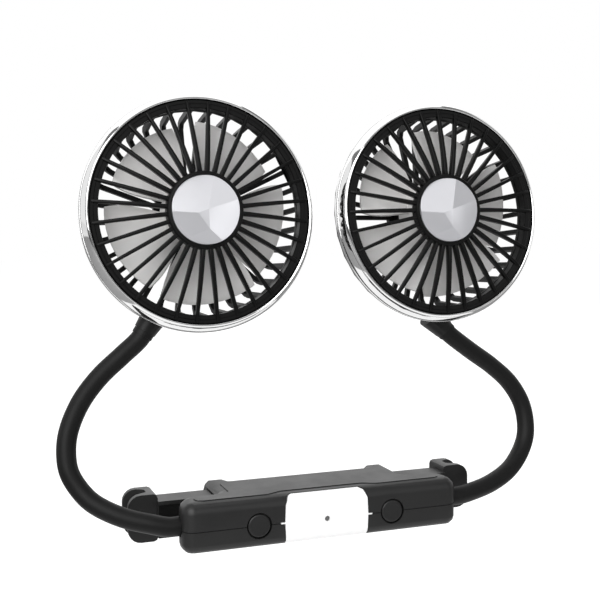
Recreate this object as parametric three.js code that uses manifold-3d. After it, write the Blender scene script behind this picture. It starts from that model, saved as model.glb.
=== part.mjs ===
// Twin-head USB fan that grips the two posts of a car headrest.
// Millimetres, +Z up, +X to the right seen from the front. The fans blow towards -Y.
// The origin lies midway between the two post channels, at the control box's mid-height.

import * as THREE from 'three';
import { mergeVertices } from 'three/addons/utils/BufferGeometryUtils.js';
import Module from 'manifold-3d';

const wasm = await Module();
wasm.setup();

// Clearances
const gap = 0.3;
const overrun = 2;

// Control box
const boxLength = 136;
const boxHeight = 23;
const boxWall = 1.8;
const postToFront = 34.3;
const endDepth = 18.5;
const bulgeDepth = 39.5;
const bulgeWidth = 96;
const earReach = 6.3;
const earWidth = 12;
const topEdgeRadius = 5;
const bottomEdgeRadius = 4;
const frontCornerRadius = 5.6;
const endCornerRadius = 8.5;
const bulgeCornerRadius = 3;
const earCornerRadius = 3;
const seamZ = -1.2;
const plateauRise = 0.35;
const plateauInset = 5.2;
const plateauEndInset = 6.9;
const plateauStepBack = 3.3;
const plateauStepWidth = 41;
const plateauStepRun = 6.5;

// Centre panel and its indicator
const panelSideRoom = 4.75;
const panelPinch = 0.6;
const panelCornerRadius = 5.2;
const panelWrap = 3.9;
const panelTabLength = 2;
const panelTabHeight = 0.7;
const indicatorRadius = 0.9;

// Push buttons
const buttonRadius = 5.65;
const buttonFlangeRadius = 6.5;
const buttonFlangeThickness = 1.2;
const buttonStemRadius = 2;
const buttonStemLength = 0.8;

// Circuit board and its switches
const boardEndRoom = 3.6;
const boardHeight = 16;
const boardThickness = 1.6;
const boardSetback = 9.3;
const boardRailSpacing = 48;
const boardRailWidth = 2;
const boardRailDepth = 6.4;
const boardRailHeight = 5;
const switchSide = 6;
const switchInset = 1.95;
const switchHeight = 3.4;
const actuatorRadius = 1.7;
const actuatorHeight = 0.6;

// Sliding clip arms
const postSeatSpacing = 156.6;
const channelDepth = 9.6;
const channelMouth = 10.7;
const channelWaist = 8.4;
const channelBed = 4;
const channelRampShare = 0.25;
const channelTaperRun = 6.2;
const clipThickness = 15.7;
const clipHeight = 22.3;
const clipWeb = 4.4;
const clipOuterRadius = 6;
const clipInnerRadius = 2;
const barDepth = 13;
const barFront = -9.9;
const barTop = 8;
const barBottom = -9.4;
const barWall = 1.8;
const barInnerEnd = 32;
const barInnerWall = 2;
const slotHeadroom = 0.6;
const lugLength = 1.9;
const lugWidth = 6;
const lugStopLength = 2.9;
const armStopWidth = 5.4;
const armStopHeight = 15.7;
const armTravel = 10;

// Arm springs
const springRadius = 3.5;
const springWire = 0.9;
const springTurns = 6;
const springTurnSteps = 6;
const springSides = 4;

// Housing screws, in deep counterbores under the box
const screwCrownShare = 0.7;
const screwEdgeShare = 0.5;
const screwHeadRadius = 2.3;
const screwHeadHeight = 1.6;
const screwShankRadius = 1.2;
const housingScrewLength = 10;
const counterboreDepth = 4.2;
const bossRadius = 3.4;
const bossTopReach = 5;
const frontBossRoom = 2.6;
const frontBossSetback = 12.8;
const rearBossSpacing = 84;
const rearBossInset = 3.8;

// Cable gland, empty
const glandX = 12;
const glandBoreRadius = 1.7;
const glandBarrelRadius = 3.2;
const glandFlangeRadius = 4.5;
const glandFlangeThickness = 1.2;

// Goosenecks
const sleeveRadius = 4.5;
const coreRadius = 2;
const neckBallRadius = 4.3;
const neckBallPlay = 0.06;
const neckShoulder = 1.2;
const neckLip = 2;
const neckSetback = 9.9;
const neckRootZ = 0;
const neckRootDepth = 8.5;
const neckHolePlay = 0.45;
const anchorDepth = 8.2;
const anchorCornerRadius = 5.4;
const corePlug = 1.5;
const coreEntry = 2.4;
const collarRadius = 4.9;
const collarLength = 2.2;
const neckStraightShare = 0.1;
const lowBendShare = 0.335;
const leanShare = 0.50;
const aimRun = 17;
const leftNeck = {
  name: 'left',
  side: -1,
  bow: 36.6,
  setback: 18.9,
  rise: 86.8,
  entryLean: 35,
  bossClock: 26,
  grilleTurnShare: 0.5,
  impellerTurn: 0,
  pathShares: [
    [0.26, 0.06, 0.02],
    [0.53, 0.27, 0.06],
    [0.78, 0.56, 0.13],
    [0.90, 0.75, 0.20],
    [0.985, 0.89, 0.29],
    [1, 1.01, 0.395],
    [0.964, 1.09, 0.50],
    [0.84, 1.16, 0.64],
    [0.655, 1.17, 0.765],
    [0.435, 1.12, 0.873],
  ],
};
const rightNeck = {
  name: 'right',
  side: 1,
  bow: 46.1,
  setback: 23.5,
  rise: 80.5,
  entryLean: -48,
  bossClock: -5,
  grilleTurnShare: 0,
  impellerTurn: -18,
  pathShares: [
    [0.22, 0.07, 0.005],
    [0.497, 0.26, 0.035],
    [0.757, 0.49, 0.103],
    [0.94, 0.706, 0.22],
    [1, 0.81, 0.32],
    [0.991, 0.94, 0.477],
    [0.877, 1.017, 0.622],
    [0.689, 1.05, 0.742],
    [0.47, 1.034, 0.846],
  ],
};

// Fan heads: radii, and depths behind the plane of the black grille rim
const bezelRadius = 55;
const bezelDepth = 8.5;
const bezelWall = 2;
const bezelFaceWidth = 3.7;
const bezelBandStep = 0.4;
const bezelLipRound = 0.8;
const bezelFaceShares = [[0, 0], [0.24, -0.1], [0.68, 0.28], [0.92, 0.68]];
const grooveStart = 4.7;
const grooveWidth = 0.6;
const grooveDepth = 0.6;
const headGap = 14.9;
const headPairShift = 10.2;
const headTilt = 6.6;
const rimWidth = 3.8;
const rimDepth = 5;
const ribCount = 32;
const ribWidth = 1.7;
const ribDepth = 3.5;
const ribProud = 0.4;
const ribBow = 5.3;
const ribRadiusShares = [0, 0.5, 1];
const ribRiseShares = [1, 0.66, 0];
const hubRimRadius = 17.5;
const hubRimFront = 6.4;
const hubBackDepth = 1.2;
const capRadius = 15.7;
const capFront = 6.95;
const capThickness = 2.35;
const capCrown = 2.4;
const capEdgeDegrees = [7, 76, 156, 223, 264];
const capCornerShares = { crest: [0.03, 0, 1], foot: [0.03, -0.57, 0.72], flank: [-0.27, -0.11, 0.9] };
const capFacets = [['crest'], ['foot', 'crest'], ['foot'], ['flank', 'foot'], ['crest', 'flank']];
const capArcSteps = 5;

// Rear guard: a ring behind the bezel, and bars that run back along the side and in to a centre plate
const guardDepth = 30;
const guardRingDepth = 2.2;
const guardFlangeInset = 1;
const guardFlangeDepth = 2.5;
const guardFlangeWall = 2.6;
const guardBarWidth = 2.2;
const guardBarThickness = 2.6;
const guardBarDraft = 2.2;
const guardBend = 4.6;
const guardBendShare = 0.29;
const guardPlateRadius = 17.5;
const guardPlateThickness = 3.5;
const motorCupWall = 1.7;
const motorCupDepth = 6.5;
const neckBossRadius = 5.2;
const neckBossRootRadius = 6.5;
const neckBossLength = 11;
const neckBossOut = 4;
const neckBossBack = 15.5;

// Motor and impeller
const motorRadius = 12;
const motorNoseRadius = 3.6;
const motorNoseLength = 1.6;
const shaftRadius = 1;
const impellerFront = 3.2;
const impellerHubRadius = 16;
const impellerWall = 1.6;
const impellerBossRadius = 3.5;
const impellerBossLength = 2.7;
const impellerRearPlay = 2;
const bladeCount = 5;
const bladeTipPlay = 5.2;
const bladeThickness = 1.2;
const bladeSweep = 60;
const bladeFront = 5.2;
const bladeRearInset = 0.8;
const bladeCamberShare = 0.4;

// Head screws, each between two guard bars, at whole bar steps round from the neck boss
const headScrewSteps = [5, 16, 27];
const headScrewLength = 6;
const headScrewHeadRadius = 1.6;
const headScrewHeadHeight = 1.5;
const headShankRadius = 0.8;
const headHoleDepthShare = 0.75;

// Facet counts
const wideArcSteps = 3;
const clipArcSteps = 5;
const arcSteps = 2;
const edgeSteps = 3;
const hollowSteps = 1;
const bezelSides = 40;
const ringSides = ribCount;
const hubSides = 18;
const smallSides = 10;
const screwSides = 6;
const neckSides = 12;
const ballSides = 12;
const coreSides = 6;
const neckStep = 6.5;
const leastNeckSteps = 2;
const neckPathSteps = 600;
const bladeRadialSteps = 2;
const bladeChordSteps = 3;

// Places worked out from the sizes above
const boxFront = -postToFront;
const boxHalf = boxLength / 2;
const bulgeHalf = bulgeWidth / 2;
const boxTop = boxHeight / 2;
const boxRear = boxFront + bulgeDepth;
const endRear = boxFront + endDepth;
const earRear = boxRear + earReach;
const innerTop = boxTop - boxWall;
const neckRootY = boxFront + neckSetback;
const boardFront = boxFront + boardSetback;
const barRear = barFront + barDepth;
const postSeat = postSeatSpacing / 2;
const clipEnd = postSeat + channelDepth;
const clipStart = postSeat - clipWeb;
const clipTop = clipHeight / 2;
const anchorInner = boxHalf - neckRootDepth - gap - anchorDepth;
const frontBossX = anchorInner - frontBossRoom - bossRadius;
const boardHalf = frontBossX - bossRadius - boardEndRoom;
const buttonX = boardHalf - switchInset - switchSide / 2;
const panelHalf = buttonX - buttonRadius - panelTabLength - panelSideRoom;
const halfGap = gap / 2;
const bezelBandRadius = bezelRadius - bezelBandStep;
const rimRadius = bezelRadius - bezelFaceWidth - gap;
const rimInner = rimRadius - rimWidth;
const headSpacing = 2 * bezelRadius + headGap;
const neckBossReach = bezelRadius + neckBossOut;
const ribPitch = (2 * Math.PI) / ribCount;
const guardFront = rimDepth + gap;
const guardRingRear = guardFront + guardRingDepth;
const guardBarFront = guardRingRear - gap;
const guardBackInner = guardDepth - guardBarThickness;
const headScrewCircle = rimRadius - rimWidth / 2;
const motorBack = guardDepth - guardPlateThickness - gap;
const motorFront = impellerFront + impellerWall + impellerBossLength + gap + motorNoseLength;
const impellerRear = guardDepth - guardPlateThickness - motorCupDepth - impellerRearPlay;
const bladeTipRadius = rimInner - bladeTipPlay;
const bladeRun = impellerRear - bladeRearInset - bladeFront;
const tiltAngle = THREE.MathUtils.degToRad(headTilt);

// Materials, one short function for each finish
function finish(color, roughness, metalness = 0) {
  return new THREE.MeshStandardMaterial({ color, roughness, metalness });
}

const finishes = {
  housing: finish(0x2f3031, 0.5),
  button: finish(0x2c2d2e, 0.5),
  panel: finish(0xf7f7f7, 0.15),
  lens: finish(0x8d8f90, 0.3),
  board: finish(0x1f5a36, 0.6),
  component: finish(0x26272a, 0.5),
  rubber: finish(0x1b1c1d, 0.75),
  steel: finish(0x9a9da0, 0.35, 1),
  brightSteel: finish(0xb9bcc0, 0.25, 1),
  anchor: finish(0x3a3b3d, 0.6),
  bezel: finish(0xe9e9ea, 0.1, 0.9),
  grille: finish(0x131314, 0.35),
  shell: finish(0x1a1a1b, 0.45),
  cap: finish(0xd6d7db, 0.15, 0.2),
  blade: finish(0xc6c6c3, 0.4),
  collar: finish(0x4a4b4d, 0.5),
};

// Closed bodies and booleans
function outwards(geometry) {
  const plain = geometry.clone();
  plain.deleteAttribute('normal');
  plain.deleteAttribute('uv');
  const merged = mergeVertices(plain);
  const place = merged.attributes.position;
  const kept = [];
  let volume = 0;
  const [a, b, c] = [new THREE.Vector3(), new THREE.Vector3(), new THREE.Vector3()];
  for (let start = 0; start < merged.index.count; start += 3) {
    const [i, j, k] = [merged.index.getX(start), merged.index.getX(start + 1), merged.index.getX(start + 2)];
    if (i === j || j === k || k === i) {
      continue;
    }
    volume += a.fromBufferAttribute(place, i).dot(
      b.fromBufferAttribute(place, j).cross(c.fromBufferAttribute(place, k)),
    );
    kept.push([i, j, k]);
  }
  const triVerts = Uint32Array.from(kept.flatMap(([i, j, k]) => (volume > 0 ? [i, j, k] : [i, k, j])));
  return { vertProperties: Float32Array.from(place.array), triVerts };
}

function solid(geometry) {
  return new wasm.Manifold(new wasm.Mesh({ numProp: 3, ...outwards(geometry) }));
}

function join(...bodies) {
  return bodies.reduce((whole, body) => whole.add(body));
}

function cut(body, ...tools) {
  return tools.reduce((rest, tool) => rest.subtract(tool), body);
}

function geometryOf(body) {
  const mesh = body.getMesh();
  const geometry = new THREE.BufferGeometry();
  geometry.setAttribute('position', new THREE.Float32BufferAttribute(mesh.vertProperties, 3));
  geometry.setIndex(new THREE.Uint32BufferAttribute(mesh.triVerts, 1));
  geometry.computeVertexNormals();
  return geometry;
}

function addPiece(group, name, body, material, origin = new THREE.Vector3()) {
  const geometry = geometryOf(body).translate(-origin.x, -origin.y, -origin.z);
  const mesh = new THREE.Mesh(geometry, material);
  mesh.name = name;
  group.add(mesh);
}

// Outlines
function corner(x, y, radius, steps = arcSteps) {
  return { point: new THREE.Vector2(x, y), radius, steps };
}

function filleted(corners) {
  const outline = [];
  corners.forEach(({ point, radius, steps }, index) => {
    if (radius === 0) {
      outline.push(point.clone());
      return;
    }
    const before = corners.at(index - 1).point.clone().sub(point).normalize();
    const after = corners[(index + 1) % corners.length].point.clone().sub(point).normalize();
    const half = Math.acos(THREE.MathUtils.clamp(before.dot(after), -1, 1)) / 2;
    const middle = before.clone().add(after).normalize();
    const centre = point.clone().addScaledVector(middle, radius / Math.sin(half));
    const first = point.clone().addScaledVector(before, radius / Math.tan(half)).sub(centre);
    const last = point.clone().addScaledVector(after, radius / Math.tan(half)).sub(centre);
    const turn = Math.atan2(first.cross(last), first.dot(last));
    for (let step = 0; step <= steps; step += 1) {
      outline.push(first.clone().rotateAround(new THREE.Vector2(), (turn * step) / steps).add(centre));
    }
  });
  return outline;
}

function rectangle(left, right, bottom, top, radius = 0) {
  return filleted([
    corner(left, bottom, radius),
    corner(right, bottom, radius),
    corner(right, top, radius),
    corner(left, top, radius),
  ]);
}

const placers = {
  x: (u, v, level) => [level, u, v],
  y: (u, v, level) => [u, level, v],
  z: (u, v, level) => [u, v, level],
};

// A closed body through outlines with the same number of points, one at each level along an axis
function stack(axis, drawn, levels) {
  const clockwise = THREE.ShapeUtils.isClockWise(drawn[0]);
  const outlines = drawn.map((outline) => (clockwise ? outline.toReversed() : outline));
  const positions = outlines.flatMap((outline, index) =>
    outline.flatMap(({ x, y }) => placers[axis](x, y, levels[index])));
  const count = outlines[0].length;
  const faces = [];
  const caps = [[0, outlines[0]], [outlines.length - 1, outlines.at(-1)]];
  caps.forEach(([ring, outline], index) => {
    THREE.ShapeUtils.triangulateShape(outline.map((point) => point.clone()), []).forEach(([i, j, k]) => {
      const order = index === 0 ? [i, k, j] : [i, j, k];
      faces.push(...order.map((vertex) => ring * count + vertex));
    });
  });
  for (let ring = 0; ring + 1 < outlines.length; ring += 1) {
    for (let vertex = 0; vertex < count; vertex += 1) {
      const next = (vertex + 1) % count;
      const [a, b] = [ring * count + vertex, ring * count + next];
      faces.push(a, b, b + count, a, b + count, a + count);
    }
  }
  const geometry = new THREE.BufferGeometry();
  geometry.setAttribute('position', new THREE.Float32BufferAttribute(positions, 3));
  geometry.setIndex(faces);
  return solid(geometry);
}

function prism(axis, outline, from, to) {
  return stack(axis, [outline, outline], [from, to]);
}

function block(xs, ys, zs) {
  return prism('z', rectangle(...xs, ...ys), ...zs);
}

// A rod between two points
function rodGeometry(from, to, radius, sides, endRadius = radius) {
  const along = to.clone().sub(from);
  const geometry = new THREE.CylinderGeometry(endRadius, radius, along.length(), sides);
  geometry.applyQuaternion(
    new THREE.Quaternion().setFromUnitVectors(new THREE.Vector3(0, 1, 0), along.normalize()),
  );
  const middle = from.clone().add(to).divideScalar(2);
  return geometry.translate(middle.x, middle.y, middle.z);
}

function rod(from, to, radius, sides = smallSides, endRadius = radius) {
  return solid(rodGeometry(from, to, radius, sides, endRadius));
}

// The corner radius of a round cutter whose flat sides still clear a given radius
function clearRadius(radius, sides) {
  return radius / Math.cos(Math.PI / sides);
}

// A body turned round a line along Y through (x, z); the profile holds [radius, y] pairs
function turned(profile, sides, x = 0, z = 0) {
  const points = profile.map(([radius, y]) => new THREE.Vector2(radius, y));
  return solid(new THREE.LatheGeometry(points, sides).translate(x, 0, z));
}

// A pan-head screw whose head starts at the given point and whose shank runs along the direction
function screw(seat, direction, headRadius, headHeight, shankRadius, length) {
  const points = [
    [0, -headHeight],
    [headRadius * screwCrownShare, -headHeight],
    [headRadius, -headHeight * screwEdgeShare],
    [headRadius, 0],
    [shankRadius, 0],
    [shankRadius, length - shankRadius],
    [0, length],
  ].map(([radius, y]) => new THREE.Vector2(radius, y));
  const geometry = new THREE.LatheGeometry(points, screwSides);
  geometry.applyQuaternion(
    new THREE.Quaternion().setFromUnitVectors(new THREE.Vector3(0, 1, 0), direction),
  );
  return solid(geometry.translate(seat.x, seat.y, seat.z));
}

// Control box
function planOutline(inset) {
  const outer = (radius) => Math.max(radius - inset, gap);
  const inner = (radius, room) => Math.min(radius + inset, room);
  const earInner = bulgeHalf - earWidth;
  const right = [
    corner(boxHalf - inset, boxFront + inset, outer(frontCornerRadius), wideArcSteps),
    corner(boxHalf - inset, endRear - inset, outer(endCornerRadius), wideArcSteps),
    corner(bulgeHalf - inset, endRear - inset, inner(bulgeCornerRadius, endDepth)),
    corner(bulgeHalf - inset, earRear - inset, outer(earCornerRadius)),
    corner(earInner + inset, earRear - inset, outer(earCornerRadius)),
    corner(earInner + inset, boxRear - inset, inner(earCornerRadius, earReach - outer(earCornerRadius))),
  ];
  return filleted([...right, ...mirrored(right)]);
}

function mirrored(corners) {
  return corners.map(({ point, radius, steps }) => corner(-point.x, point.y, radius, steps)).reverse();
}

// Half of the box from its seam outwards, at a depth under its skin; side is 1 for the upper half
function halfBody(side, edgeRadius, depth, seamOffset) {
  const outlines = [planOutline(depth)];
  const levels = [seamZ + side * seamOffset];
  const radius = edgeRadius - depth;
  const steps = depth > 0 ? hollowSteps : edgeSteps;
  for (let step = 0; step <= steps; step += 1) {
    const angle = (Math.PI / 2) * (step / steps);
    outlines.push(planOutline(depth + radius * (1 - Math.cos(angle))));
    levels.push(side * (boxTop - edgeRadius + radius * Math.sin(angle)));
  }
  return stack('z', outlines, levels);
}

function mirroredXs(from, to, side) {
  return side > 0 ? [from, to] : [-to, -from];
}

// The panel's outline seen from the front, a slight barrel with round upper corners
function panelPrism(grow) {
  const half = panelHalf + grow;
  const top = boxTop + gap + grow;
  const outline = filleted([
    corner(-half + panelPinch, -boxTop - overrun, 0),
    corner(half - panelPinch, -boxTop - overrun, 0),
    corner(half, seamZ, 0),
    corner(half - panelPinch, top, panelCornerRadius),
    corner(-half + panelPinch, top, panelCornerRadius),
    corner(-half, seamZ, 0),
  ]);
  const body = prism('y', outline, boxFront - overrun, boxFront + panelWrap + grow);
  const tabHalf = panelTabHeight / 2 + grow;
  const tab = block(
    [-half - panelTabLength, half + panelTabLength],
    [boxFront - overrun, boxFront + boxWall + gap],
    [seamZ - tabHalf, seamZ + tabHalf],
  );
  return join(body, tab);
}

function bossPlaces() {
  const front = boxFront + frontBossSetback;
  const rear = earRear - rearBossInset;
  return [
    new THREE.Vector2(-frontBossX, front),
    new THREE.Vector2(frontBossX, front),
    new THREE.Vector2(-rearBossSpacing / 2, rear),
    new THREE.Vector2(rearBossSpacing / 2, rear),
  ];
}

function uprightRod(place, low, high, radius, sides = smallSides) {
  const from = new THREE.Vector3(place.x, place.y, low);
  const to = new THREE.Vector3(place.x, place.y, high);
  return rod(from, to, radius, sides);
}

// What is cut from both housing halves: bar slots, neck holes, button holes, panel and gland
function housingCutters() {
  const frontRod = (x, from, radius) => rod(
    new THREE.Vector3(x, from, seamZ),
    new THREE.Vector3(x, boxFront + boxWall + overrun, seamZ),
    clearRadius(radius, hubSides),
    hubSides,
  );
  const glandHole = rod(
    new THREE.Vector3(glandX, boxRear - boxWall - overrun, seamZ),
    new THREE.Vector3(glandX, boxRear + overrun, seamZ),
    clearRadius(glandBarrelRadius + gap, smallSides),
  );
  const cutters = [panelPrism(gap), glandHole];
  [-1, 1].forEach((side) => {
    cutters.push(block(
      mirroredXs(bulgeHalf - boxWall - gap, bulgeHalf + overrun, side),
      [barFront - gap, barRear + gap],
      [barBottom - gap, barTop + slotHeadroom],
    ));
    cutters.push(rod(
      new THREE.Vector3(side * (boxHalf - neckRootDepth), neckRootY, neckRootZ),
      new THREE.Vector3(side * (boxHalf + overrun), neckRootY, neckRootZ),
      clearRadius(sleeveRadius + neckHolePlay, neckSides),
      neckSides,
    ));
    cutters.push(block(
      mirroredXs(barInnerEnd - armTravel - gap, bulgeHalf - boxWall, side),
      [barFront - gap, barRear + gap],
      [barBottom - gap, barTop + gap],
    ));
    cutters.push(frontRod(side * buttonX, boxFront - overrun, buttonRadius + gap));
    cutters.push(frontRod(side * buttonX, boxFront + boxWall, buttonFlangeRadius + gap));
  });
  return cutters;
}

function plateau() {
  const half = boxHalf - plateauEndInset;
  const front = boxFront + plateauInset;
  const stepHalf = plateauStepWidth / 2;
  const rear = endRear - plateauInset;
  const ear = bulgeHalf - plateauInset;
  const right = [
    corner(stepHalf, front + plateauStepBack, plateauStepBack),
    corner(stepHalf + plateauStepRun, front, plateauStepBack),
    corner(half, front, plateauStepBack),
    corner(half, rear, plateauStepBack),
    corner(ear, rear, plateauStepBack),
    corner(ear, boxRear - plateauInset, plateauStepBack),
  ];
  return prism('z', filleted([...right, ...mirrored(right)]), boxTop - gap, boxTop + plateauRise);
}

function housingTop(cutters) {
  const skin = halfBody(1, topEdgeRadius, 0, halfGap);
  const hollow = halfBody(1, topEdgeRadius, boxWall, -overrun);
  const bosses = bossPlaces().map((place) =>
    uprightRod(place, seamZ + halfGap, innerTop + gap, bossRadius));
  const shankRoom = clearRadius(screwShankRadius + gap, screwSides);
  const bores = bossPlaces().map((place) =>
    uprightRod(place, seamZ - overrun, bossTopReach, shankRoom, screwSides));
  const lugStops = [-1, 1].map((side) => block(
    mirroredXs(bulgeHalf - boxWall - lugStopLength, bulgeHalf - boxWall + gap, side),
    [barFront, barFront + lugWidth],
    [barTop + gap, innerTop + gap],
  ));
  const shell = cut(join(cut(skin, hollow), plateau()), ...cutters);
  return cut(join(shell, ...lugStops, ...bosses), ...bores);
}

function boardRail(side) {
  const middle = (side * boardRailSpacing) / 2;
  const boardMiddle = boardFront + boardThickness / 2;
  const rail = block(
    [middle - boardRailWidth / 2, middle + boardRailWidth / 2],
    [boardMiddle - boardRailDepth / 2, boardMiddle + boardRailDepth / 2],
    [-innerTop - gap, -innerTop + boardRailHeight],
  );
  const slot = block(
    [middle - boardRailWidth, middle + boardRailWidth],
    [boardFront - gap, boardFront + boardThickness + gap],
    [seamZ - boardHeight / 2 - gap, boxTop],
  );
  return cut(rail, slot);
}

function housingBottom(cutters) {
  const skin = halfBody(-1, bottomEdgeRadius, 0, halfGap);
  const hollow = halfBody(-1, bottomEdgeRadius, boxWall, -overrun);
  const bosses = bossPlaces().map((place) =>
    uprightRod(place, -innerTop - gap, seamZ - halfGap, bossRadius));
  const shankRoom = clearRadius(screwShankRadius + gap, screwSides);
  const headRoom = clearRadius(screwHeadRadius + gap, smallSides);
  const bores = bossPlaces().flatMap((place) => [
    uprightRod(place, -boxTop, seamZ + overrun, shankRoom, screwSides),
    uprightRod(place, -boxTop - overrun, -boxTop + counterboreDepth, headRoom),
  ]);
  const stop = block(
    [-armStopWidth / 2, armStopWidth / 2],
    [barFront, barRear],
    [-innerTop - gap, -innerTop + armStopHeight],
  );
  const shell = cut(cut(skin, hollow), ...cutters);
  return cut(join(shell, stop, boardRail(-1), boardRail(1), ...bosses), ...bores);
}

function centrePanel() {
  const whole = join(halfBody(1, topEdgeRadius, 0, 0), halfBody(-1, bottomEdgeRadius, 0, 0));
  const hollow = join(
    halfBody(1, topEdgeRadius, boxWall, 0),
    halfBody(-1, bottomEdgeRadius, boxWall, 0),
  );
  const lensHole = rod(
    new THREE.Vector3(0, boxFront - overrun, seamZ),
    new THREE.Vector3(0, boxFront + boxWall + overrun, seamZ),
    clearRadius(indicatorRadius + gap, smallSides),
  );
  return cut(cut(whole, hollow).intersect(panelPrism(0)), lensHole);
}

function indicatorLens() {
  return rod(
    new THREE.Vector3(0, boxFront, seamZ),
    new THREE.Vector3(0, boardFront - gap, seamZ),
    indicatorRadius,
  );
}

function pushButton(side) {
  const back = boxFront + boxWall + gap;
  const flangeBack = back + buttonFlangeThickness;
  return turned([
    [0, boxFront],
    [buttonRadius - gap, boxFront],
    [buttonRadius, boxFront + gap],
    [buttonRadius, back],
    [buttonFlangeRadius, back],
    [buttonFlangeRadius, flangeBack],
    [buttonStemRadius, flangeBack],
    [buttonStemRadius, flangeBack + buttonStemLength],
    [0, flangeBack + buttonStemLength],
  ], hubSides, side * buttonX, seamZ);
}

function circuitBoard() {
  return block(
    [-boardHalf, boardHalf],
    [boardFront, boardFront + boardThickness],
    [seamZ - boardHeight / 2, seamZ + boardHeight / 2],
  );
}

function tactSwitch(side) {
  const middle = side * buttonX;
  const back = boardFront - gap;
  const front = back - switchHeight;
  const body = block(
    [middle - switchSide / 2, middle + switchSide / 2],
    [front, back],
    [seamZ - switchSide / 2, seamZ + switchSide / 2],
  );
  const actuator = rod(
    new THREE.Vector3(middle, front - actuatorHeight, seamZ),
    new THREE.Vector3(middle, back - gap, seamZ),
    actuatorRadius,
  );
  return join(body, actuator);
}

function housingScrew(place) {
  const seat = new THREE.Vector3(place.x, place.y, -boxTop + counterboreDepth - gap);
  return screw(
    seat,
    new THREE.Vector3(0, 0, 1),
    screwHeadRadius,
    screwHeadHeight,
    screwShankRadius,
    housingScrewLength,
  );
}

function cableGland() {
  const inside = boxRear - boxWall - gap;
  const outside = boxRear + gap;
  return turned([
    [glandBoreRadius, inside - glandFlangeThickness],
    [glandFlangeRadius, inside - glandFlangeThickness],
    [glandFlangeRadius, inside],
    [glandBarrelRadius, inside],
    [glandBarrelRadius, outside],
    [glandFlangeRadius, outside],
    [glandFlangeRadius - gap, outside + glandFlangeThickness],
    [glandBoreRadius, outside + glandFlangeThickness],
    [glandBoreRadius, inside - glandFlangeThickness],
  ], smallSides, glandX, seamZ);
}

function neckAnchor(side) {
  const near = boxHalf - neckRootDepth - gap;
  const section = rectangle(
    boxFront + boxWall + gap,
    endRear - boxWall - gap,
    -innerTop + gap,
    innerTop - gap,
    anchorCornerRadius,
  );
  const body = prism('x', section, ...mirroredXs(near - anchorDepth, near, side));
  const bore = rod(
    new THREE.Vector3(side * (near - anchorDepth - overrun), neckRootY, neckRootZ),
    new THREE.Vector3(side * (near + overrun), neckRootY, neckRootZ),
    clearRadius(coreRadius + gap, coreSides),
    coreSides,
  );
  return cut(body, bore);
}

// Clip arms
function clipArm(side) {
  const xs = (from, to) => mirroredXs(from, to, side);
  const bar = block(xs(barInnerEnd, clipStart + gap), [barFront, barRear], [barBottom, barTop]);
  const pocket = block(
    xs(barInnerEnd + barInnerWall, clipStart),
    [barFront - overrun, barRear - barWall],
    [barBottom + barWall, barTop - barWall],
  );
  const lugEnd = bulgeHalf - boxWall - lugStopLength - gap;
  const lug = block(
    xs(lugEnd - lugLength, lugEnd),
    [barFront, barFront + lugWidth],
    [barTop - gap, innerTop - gap],
  );
  const silhouette = filleted([
    corner(side * clipStart, -clipTop, clipInnerRadius),
    corner(side * clipEnd, -clipTop, clipOuterRadius, clipArcSteps),
    corner(side * clipEnd, clipTop, clipOuterRadius, clipArcSteps),
    corner(side * clipStart, clipTop, clipInnerRadius),
  ]);
  const clip = prism('y', silhouette, -clipThickness / 2, clipThickness / 2);
  return cut(join(cut(bar, pocket), lug, clip), postChannel(side));
}

// The upright channel for a headrest post, open outwards, with a flat bed
function postChannel(side) {
  const waist = clipEnd - channelTaperRun;
  const ramp = channelBed * channelRampShare;
  const mouthSpread = ((channelMouth - channelWaist) / 2) * (overrun / channelTaperRun);
  const half = [
    [clipEnd + overrun, channelMouth / 2 + mouthSpread],
    [waist, channelWaist / 2],
    [postSeat + ramp, channelBed / 2 + ramp],
    [postSeat, channelBed / 2],
  ];
  const outline = [...half, ...half.map(([x, y]) => [x, -y]).reverse()];
  const points = outline.map(([x, y]) => new THREE.Vector2(side * x, y));
  return prism('z', points, -clipTop - overrun, clipTop + overrun);
}

class Helix extends THREE.Curve {
  constructor(start, end, y, z, radius, turns) {
    super();
    Object.assign(this, { start, end, y, z, radius, turns });
  }

  getPoint(t, target = new THREE.Vector3()) {
    const angle = 2 * Math.PI * this.turns * t;
    return target.set(
      THREE.MathUtils.lerp(this.start, this.end, t),
      this.y + this.radius * Math.cos(angle),
      this.z + this.radius * Math.sin(angle),
    );
  }
}

function ngon(radius, sides) {
  return Array.from({ length: sides }, (_, index) => {
    const angle = (2 * Math.PI * index) / sides;
    return new THREE.Vector2(radius * Math.cos(angle), radius * Math.sin(angle));
  });
}

function tube(path, radius, sides, steps) {
  return solid(new THREE.ExtrudeGeometry(new THREE.Shape(ngon(radius, sides)), {
    steps,
    extrudePath: path,
    bevelEnabled: false,
  }));
}

function armSpring(side) {
  const wireHalf = springWire / 2;
  const helix = new Helix(
    side * (armStopWidth / 2 + gap + wireHalf),
    side * (barInnerEnd - gap - wireHalf),
    (barFront + barRear) / 2,
    (barTop + barBottom) / 2,
    springRadius - wireHalf,
    springTurns,
  );
  return tube(helix, wireHalf, springSides, springTurns * springTurnSteps);
}

// Goosenecks: a path, three bends along it, and a sleeve and a core length between bends
class Stretch extends THREE.Curve {
  constructor(path, from, to) {
    super();
    Object.assign(this, { path, from, to });
  }

  getPoint(t, target = new THREE.Vector3()) {
    const length = this.path.getLength();
    const share = THREE.MathUtils.lerp(this.from, this.to, t) / length;
    return this.path.getPointAt(THREE.MathUtils.clamp(share, 0, 1), target);
  }
}

// The neck ends where its head's boss stands, and the head's place follows from the pair's spacing
function neckEnd(neck) {
  const headX = (neck.side * headSpacing) / 2 + headPairShift;
  return new THREE.Vector3(
    headX - neckBossReach * Math.sin(THREE.MathUtils.degToRad(neck.bossClock)),
    neckRootY + neck.setback,
    neckRootZ + neck.rise,
  );
}

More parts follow.
